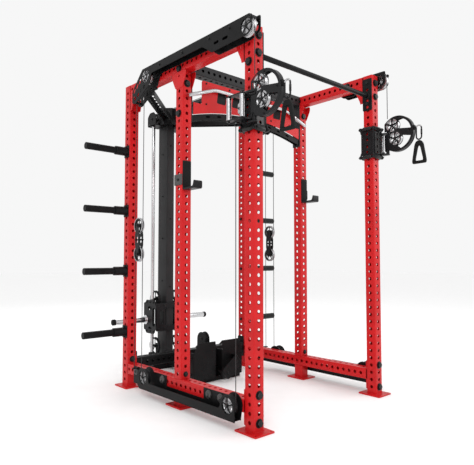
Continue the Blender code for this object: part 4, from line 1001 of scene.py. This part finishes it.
def add_rollers(shape, x, y):
    """Pill-shaped rollers on all four faces, top and bottom, with corner brackets."""
    off, span = HALF + 0.58, 1.5
    profile = [(0, -span), (0.3, -span + 0.02), (0.46, -span + 0.16), (0.56, -span + 0.42),
        (0.56, span - 0.42), (0.46, span - 0.16), (0.3, span - 0.02), (0, span)]
    for z in (66.7, 74.8):
        for d in (-1, 1):
            shape.lathe(profile, (x, y + d * off, z), (1, 0, 0), URETHANE, 28)
            shape.lathe(profile, (x + d * off, y, z), (0, 1, 0), URETHANE, 28)
        for dx in (-1, 1):
            for dy in (-1, 1):
                cx, cy = x + dx * 2.08, y + dy * 2.08
                shape.lathe([(0, -0.42), (0.4, -0.42), (0.48, -0.34), (0.48, 0.34), (0.4, 0.42),
                    (0, 0.42)], (cx, cy, z), (0, 0, 1), STEEL, 24)
                for axis in ((dx, 0, 0), (0, dy, 0)):
                    small_bolt(shape, (cx + axis[0] * 0.44, cy + axis[1] * 0.44, z), axis, 0.17)
                inward = 1 if z < 70 else -1
                shape.rod((cx, cy, z + inward * 0.3), (cx - dx * 0.15, cy - dy * 0.15, z + inward * 1.3),
                    0.24, STEEL, 16)


def add_grips(side, s):
    shape = Shape()
    low, high = 68.75, 73.88
    for y in (0.5, 4.9):
        radii = [(0, 0), (0.5, 0), (0.57, 0.08)]
        length = high - low
        for k in range(15):
            h = 0.5 + (length - 1.0) * k / 14
            radii += [(0.57, h - 0.06), (0.53, h - 0.03), (0.53, h + 0.03), (0.57, h + 0.06)]
        radii += [(0.57, length - 0.08), (0.5, length), (0, length)]
        shape.lathe(radii, (s * 27.85, y, low), (0, 0, 1), SILVER, 32)
        for z, d in ((low - 0.3, -1), (high + 0.3, 1)):
            small_bolt(shape, (s * 27.85, y, z), (0, 0, d), 0.26)
    outline = [(s * 25.38, -0.02), (s * 28.45, -0.02), (s * 28.45, 5.45), (s * 27.25, 5.45),
        (s * 27.25, 3.3), (s * 25.38, 3.3)]
    for z in (low - 0.3, high):
        shape.plate([rounded(outline, 0.35)], "xy", z, z + 0.3, STEEL)
    shape.finish(f"grip_pair_{side}", f"{side}_trolley", f"{side}_grips")


def add_pop_pin(side, s):
    y, z = 2.3, 71.2
    shape = Shape()
    shape.lathe([(0, 0), (0.25, 0.0), (0.25, 1.2), (0.36, 1.25), (0.36, 1.5), (0, 1.5)], (s * 24.9, y, z),
        (s, 0, 0), CHROME, 24)
    lever = rounded(rectangle(y - 0.6, y + 0.6, z - 1.2, z + 1.2), 0.45, 6)
    shape.plate([lever], "yz", s * 26.35, s * 27.05, SILVER, 0.12)
    small_bolt(shape, (s * 27.0, y, z), (s, 0, 0), 0.26)
    shape.finish(f"pop_pin_knob_{side}", f"{side}_pop_pin", f"{side}_pop_pin")


def add_swivels(side, s):
    x = s * CABLE_X
    cy, cz = -5.2, 73.0
    radius, flat = 5.05, -1.35
    wheels = {"upper": (-3.7, 75.6), "lower": (-4.55, 71.75)}
    half = math.degrees(math.acos((flat - cy) / radius))
    shape = Shape()
    rim = arc((cy, cz), radius, half, 360 - half, 64)
    notch = rectangle(flat, -2.95, 73.15, 74.0)
    windows = []
    for centre in wheels.values():
        windows += star_windows(centre, 0.48, 1.83, 3)
    upper = arc((cy, cz), 4.4, 168, 108, 12) + arc(wheels["upper"], 2.0, 138, 215, 10)
    lower = arc((cy, cz), 4.4, 194, 258, 12) + arc(wheels["lower"], 2.0, 262, 156, 10)
    windows += [rounded(upper, 0.15, 2), rounded(lower, 0.15, 2)]
    for d in (-1, 1):
        face = x + d * 0.62
        shape.plate([rim + notch] + windows, "yz", face, face - d * 0.12, STEEL, 0.03)
        lip_outer = arc((cy, cz), radius, 66, 294, 60)
        lip_inner = arc((cy, cz), radius - 0.3, 294, 66, 60)
        shape.plate([lip_outer + lip_inner], "yz", face - d * 0.02, face + d * 0.05, STEEL, 0.02)
        for centre in wheels.values():
            small_bolt(shape, (face, *centre), (d, 0, 0), 0.24)
        for p in ((-9.2, 73.4), (-5.5, 77.45), (-5.3, 68.5), (-2.0, 69.2)):
            small_bolt(shape, (face, *p), (d, 0, 0), 0.17)
    band_outer = arc((cy, cz), radius - 0.02, 84, 290, 60)
    band_inner = arc((cy, cz), radius - 0.3, 290, 84, 60)
    shape.plate([band_outer + band_inner], "yz", x - 0.6, x + 0.6, STEEL)
    shape.lathe([(0.2, 0), (0.42, 0), (0.48, 0.06), (0.48, 5.34), (0.42, 5.4), (0.2, 5.4)],
        (x, -2.0, 67.9), (0, 0, 1), STEEL, 28, closed=True)
    shape.box((x - 0.55, -1.4, 68.4), (x + 0.55, -1.72, 73.0), STEEL)
    shape.box((x - 0.42, -9.9, 73.2), (x + 0.42, -10.5, 74.5), STEEL, 0.12)
    shape.lathe([(0, 0), (0.34, 0.0), (0.36, 0.1), (0.3, 0.25), (0, 0.28)], (x, -10.42, 73.85),
        (0, -1, 0), RUBBER, 24)
    shape.tube([(x, -9.95, 73.85), (x, -8.6, 73.85), (x, -7.0, 73.75), (x, -5.4, 73.6), (x, -4.6, 73.5)],
        0.09, CABLE, 10)
    shape.finish(f"swivel_{side}", f"{side}_swivel", f"{side}_swivel_guard")
    for key, centre in wheels.items():
        part = Shape()
        wheel(part, (x, *centre), SWIVEL_WHEEL_R, 0.96, web=SILVER)
        part.finish(f"wheel_swivel_{key}_{side}", f"{side}_{key}_wheel", f"{side}_{key}_swivel_pulley")


def add_handles(side, s):
    y, z = -11.55, 73.85
    x = s * CABLE_X
    shape = Shape()
    half, top, bottom = 0.75, z + 0.35, 70.35
    loop = arc((y, top - half), half, 0, 180, 14) + arc((y, bottom + half), half, 180, 360, 14)
    shape.tube([(x, u, v) for u, v in loop], 0.2, STEEL, 16, cyclic=True)
    shape.rod((x, y - half, 71.6), (x, y - half, 73.0), 0.25, BOLT, 20)
    crown = arc((y, top - half), half, 20, 160, 12)
    shape.tube([(x, u, v) for u, v in crown], 0.215, SILVER, 16)
    high, low = 69.9, 64.0
    grip = symmetric(y, [(0.5, high), (1.0, high - 0.9), (1.75, low + 0.5), (1.55, low)])
    loop = rounded(grip, 0.9, 5)
    shape.tube([(x, u, v) for u, v in loop], 0.2, RUBBER, 14, cyclic=True)
    outer = symmetric(y, [(0.62, high + 0.12), (1.25, high - 0.8), (2.05, low + 0.4), (1.9, low - 0.28)])
    inner = symmetric(y, [(0.2, high - 1.3), (0.45, high - 1.9), (1.12, low + 1.0), (1.05, low + 0.5)])
    shape.plate([rounded(outer, 0.6, 5), rounded(inner, 0.3, 5)], "yz", x - 0.34, x + 0.34, RUBBER, 0.12)
    shape.rod((x, y - 1.5, low + 0.12), (x, y + 1.5, low + 0.12), 0.42, RUBBER, 28, 0.1)
    shape.finish(f"handle_{side}", f"{side}_handle", f"{side}_handle")


def add_blocks(side, s):
    x = s * CABLE_X
    low, high = BLOCK_ZS
    y = BLOCK_Y
    shape = Shape()
    oval = arc((y, high), 0.75, 0, 180, 14) + [(y - 0.75, high - 1), (y - 1.15, 44.6), (y - 1.15, 41.8)]
    oval += [(y - 0.75, low + 1)] + arc((y, low), 0.75, 180, 360, 14)
    oval += [(y + 0.75, low + 1), (y + 1.15, 41.8), (y + 1.15, 44.6), (y + 0.75, high - 1)]
    windows = [slot_outline((y, (low + high) / 2), 1.8, 0.8, 90)]
    for d in (-1, 1):
        shape.plate([list(oval)] + windows, "yz", x + d * 0.5, x + d * 0.68, STEEL)
        for z in (low, high):
            small_bolt(shape, (x + d * 0.68, y, z), (d, 0, 0), 0.36)
        for v in (-0.75, 0.75):
            small_bolt(shape, (x + d * 0.68, y + v, (low + high) / 2), (d, 0, 0), 0.2)
    for v in (-0.75, 0.75):
        shape.rod((x - 0.6, y + v, (low + high) / 2), (x + 0.6, y + v, (low + high) / 2), 0.25, STEEL, 20)
    for z in (low, high):
        wheel(shape, (x, y, z), WHEEL_R, 1.2)
    shape.finish(f"block_{side}", f"{side}_block", f"{side}_pulley_block")


def add_carriage():
    z0, z1 = 12.0, 23.5
    y0, y1 = 67.5, 75.45
    wide = 6.3
    shape = Shape()
    for y, d in ((y0, 1), (y1, -1)):
        outline = panel(-wide, wide, z0 + 1, z1 - 1, 0.5)
        windows = [panel(-2.6, 2.6, 14.6, 20.9, 0.6)]
        windows += [slot_outline((x, 17.75), 4.6, 1.5, 90) for x in (-4.0, 4.0)]
        shape.plate([outline] + windows, "xz", y, y + d * 0.25, STEEL)
        for x in (-5.5, -2.9, 2.9, 5.5):
            for z in (13.8, 21.7):
                small_bolt(shape, (x, y, z), (0, -d, 0), 0.3)
    for s in (-1, 1):
        side = rounded([(y0, z0 + 2.4), (y0 + 1.6, z0), (y1 - 1.6, z0), (y1, z0 + 2.4), (y1, z1 - 2.4),
            (y1 - 1.6, z1), (y0 + 1.6, z1), (y0, z1 - 2.4)], 0.5)
        windows = [slot_outline((69.2, 17.75), 6.4, 1.5, 90), slot_outline((71.6, 20.7), 2.4, 1.2),
            slot_outline((71.4, 13.9), 2.0, 0.9)]
        shape.plate([side] + windows, "yz", s * wide, s * (wide - 0.25), STEEL)
        for y in (69.4, 71.5, 73.6):
            for z in (12.8, 22.7):
                small_bolt(shape, (s * wide, y, z), (s, 0, 0), 0.28)
        for z in (z0, z1 - 1.4):
            shape.lathe([(0.66, 0), (0.95, 0), (1.02, 0.1), (1.02, 1.3), (0.95, 1.4), (0.66, 1.4)],
                (s * ROD_X, ROD_Y, z), (0, 0, 1), NYLON, 32, closed=True)
        shape.lathe(ring_profile(0.66, 0.82, 8.7), (s * ROD_X, ROD_Y, z0 + 1.4), (0, 0, 1), STEEL, 32,
            closed=True)
        shape.box((s * 2.95, y0 + 0.1, 21.0), (s * 3.15, y1 - 0.1, 22.3), STEEL)
        cheek = panel(71.2, 72.8, 21.2, 24.6, 0.5)
        shape.plate([cheek], "yz", s * 2.95, s * 3.15, STEEL)
        wheel(shape, (s * LIFT_X, ROD_Y, LIFT_Z), MAST_WHEEL_R, 1.36, rim=STEEL)
        y, z = 73.6, 16.6
        length = LOAD_PEG_TIP - wide
        shape.lathe([(0, 0), (1.6, 0), (1.6, 0.55), (1.5, 0.7), (0.95, 0.72), (0.95, length - 0.2),
            (0.85, length), (0.6, length), (0.58, length - 0.06), (0, length - 0.06)], (s * wide, y, z),
            (s, 0, 0), CHROME, 40)
        shape.lathe([(0.95, 0), (0.99, 0), (0.99, 0.9), (0.9, 1.0), (0.0, 1.0)],
            (s * (LOAD_PEG_TIP - 1.0), y, z), (s, 0, 0), RUBBER, 40)
    shape.finish("carriage_box", "carriage", "weight_carriage")


def add_lat_bar():
    z, drop = 84.2, 3.3
    y = LAT_Y - LAT_RUN_R
    shape = Shape()
    ends = [(-23.5, z - drop), (-14.2, z), (14.2, z), (23.5, z - drop)]
    bends = rounded(ends, 1.3, 8)[9:27]         # nine points for each of the two middle corners
    path = ends[:1] + bends + ends[3:]
    shape.tube([(u, y, v) for u, v in path], 0.5, CHROME, 28)
    for s in (-1, 1):
        tip, bend = Vector((s * 23.5, y, z - drop)), Vector((s * 15.6, y, z - 0.55))
        along = (tip - bend).normalized()
        shape.rod(tip - along * 5.2, tip - along * 0.05, 0.53, SILVER, 32)
    eye = circle((0, z + 0.55), 0.75, 32)
    shape.plate([eye, circle((0, z + 0.75), 0.28, 20)], "xz", y - 0.2, y + 0.2, CHROME)
    shape.lathe([(0.5, -0.9), (0.62, -0.85), (0.62, 0.85), (0.5, 0.9)], (0, y, z), (1, 0, 0), CHROME, 32,
        closed=True)
    loop = arc((0, 86.0), 0.3, 0, 180, 8) + arc((0, 85.0), 0.3, 180, 360, 8)
    shape.tube([(u, y, v) for u, v in loop], 0.1, STEEL, 12, cyclic=True)
    shape.finish("bar_pull_down", "lat_bar", "lat_bar")


# Cables
def smooth_run(route, step=2.0):
    """Points no further apart than step, so that a stretching piece bends evenly."""
    points = []
    for a, b in zip(route, route[1:]):
        a, b = Vector(a), Vector(b)
        parts = max(1, math.ceil((b - a).length / step))
        points += [a.lerp(b, k / parts) for k in range(parts)]
    return points + [Vector(route[-1])]


def add_cable(name, route, body, *replaced):
    shape = Shape()
    shape.tube(smooth_run(route), CABLE_R, CABLE, 12)
    return shape.finish(name, body, *replaced)


def add_side_cables(side, s):
    low, high = BLOCK_ZS
    back_run = BLOCK_Y + RUN_R
    x = s * CABLE_X

    def run(points):
        return [(x, y, z) for y, z in points]

    over = arc((FRONT_TOP_Y, TOP_Z), RUN_R, 180, 90, 12) + arc((REAR_Y, TOP_Z), RUN_R, 90, 0, 12)
    add_cable(f"cable_top_{side}", run(over), "frame", f"{side}_upper_cable")
    under = arc((FRONT_BASE_Y, BASE_Z), RUN_R, 180, 270, 12)
    under += arc((REAR_Y, BASE_Z), RUN_R, -90, 0, 12)
    add_cable(f"cable_base_{side}", run(under), "frame", f"{side}_lower_cable")
    wrap = arc((BLOCK_Y, high), RUN_R, 180, 360, 24)
    add_cable(f"cable_wrap_upper_{side}", run(wrap), f"{side}_block")
    wrap = arc((BLOCK_Y, low), RUN_R, 180, 0, 24)
    add_cable(f"cable_wrap_lower_{side}", run(wrap), f"{side}_block")
    stretches = [("front_top", f"{side}_trolley", FRONT_RUN, 77.9, TOP_Z),
        ("front_base", f"{side}_trolley", LOW_RUN, 67.6, BASE_Z), ("rear_top", f"{side}_block", REAR_RUN,
        high, TOP_Z), ("return_top", f"{side}_block", back_run, high, 82.75),
        ("rear_base", f"{side}_block", REAR_RUN, low, BASE_Z), ("return_base", f"{side}_block", back_run,
        low, 7.05)]
    for key, body, y, moving, fixed in stretches:
        item = add_cable(f"cable_{key}_{side}", [(x, y, moving), (x, y, fixed)], None)
        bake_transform(item)
    shape = Shape()
    shape.lathe([(0, 0), (0.24, 0.05), (0.24, 0.7), (0.16, 0.85), (0, 0.85)], (x, LOW_RUN, 67.55),
        (0, 0, 1), CHROME, 20)
    shape.finish(f"cable_end_{side}", f"{side}_trolley")


def add_lat_cables():
    route = [(LAT_Y - LAT_RUN_R, 86.35)] + arc((LAT_Y, LAT_Z), LAT_RUN_R, 180, 90, 12)
    route += arc((LAT_REAR_Y, LAT_Z), LAT_RUN_R, 90, 0, 12) + [(LAT_REAR_Y + LAT_RUN_R, 80.0)]
    add_cable("cable_pull_down", [(0, u, v) for u, v in route], "frame", "lat_cable")
    reach = 2.6
    for side, s in SIDES.items():
        x = s * LIFT_X
        route = arc((ROD_Y, LIFT_Z), reach, 180, 360, 20)
        add_cable(f"cable_carriage_{side}", [(x, u, v) for u, v in route], "carriage")
        for key, y in (("front", ROD_Y - reach), ("back", ROD_Y + reach)):
            item = add_cable(f"cable_lift_{key}_{side}", [(x, y, LIFT_Z), (x, y, LIFT_TOP)], None)
            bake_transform(item)


# Setting
def add_studio():
    bpy.ops.mesh.primitive_plane_add(size=60, location=(0, 0, -0.0005))
    floor = bpy.context.active_object
    floor.name = "floor"
    floor.data.materials.append(material("pale_floor", (0.99, 0.99, 0.99), 0.8, spread=0.01, bump=0.02,
        gloss=0.05))
    sky = bpy.data.worlds.new("studio")
    sky.use_nodes = True
    sky.node_tree.nodes["Background"].inputs["Color"].default_value = (0.93, 0.93, 0.93, 1)
    sky.node_tree.nodes["Background"].inputs["Strength"].default_value = 1.0
    bpy.context.scene.world = sky
    bpy.context.scene.view_settings.view_transform = "Standard"
    for name, spot, size, power in (("key_light", (-4.5, -4.5, 5.0), 3.0, 150),
            ("fill_light", (4.5, -3.5, 3.5), 3.0, 60), ("back_light", (1.5, 5.0, 5.0), 3.0, 60)):
        data = bpy.data.lights.new(name, "AREA")
        data.energy = power
        data.size = size
        lamp = bpy.data.objects.new(name, data)
        lamp.location = spot
        aim = Vector((0, 0, 1.2)) - Vector(spot)
        lamp.rotation_euler = aim.to_track_quat("-Z", "Y").to_euler()
        bpy.context.scene.collection.objects.link(lamp)


def add_both(*builders):
    for builder in builders:
        for side, s in SIDES.items():
            builder(side, s)


add_camera()
add_both(add_posts, add_rails)
add_crossmembers()
add_sign()
add_pull_up_bar()
add_mast()
add_mast_head()
add_both(add_rear_arms)
add_base()
add_both(add_channels, add_channel_wheels)
add_lat_wheel()
add_both(add_j_cups, add_trolleys, add_swivels, add_handles, add_blocks)
add_carriage()
add_lat_bar()
add_both(add_side_cables)
add_lat_cables()
add_studio()
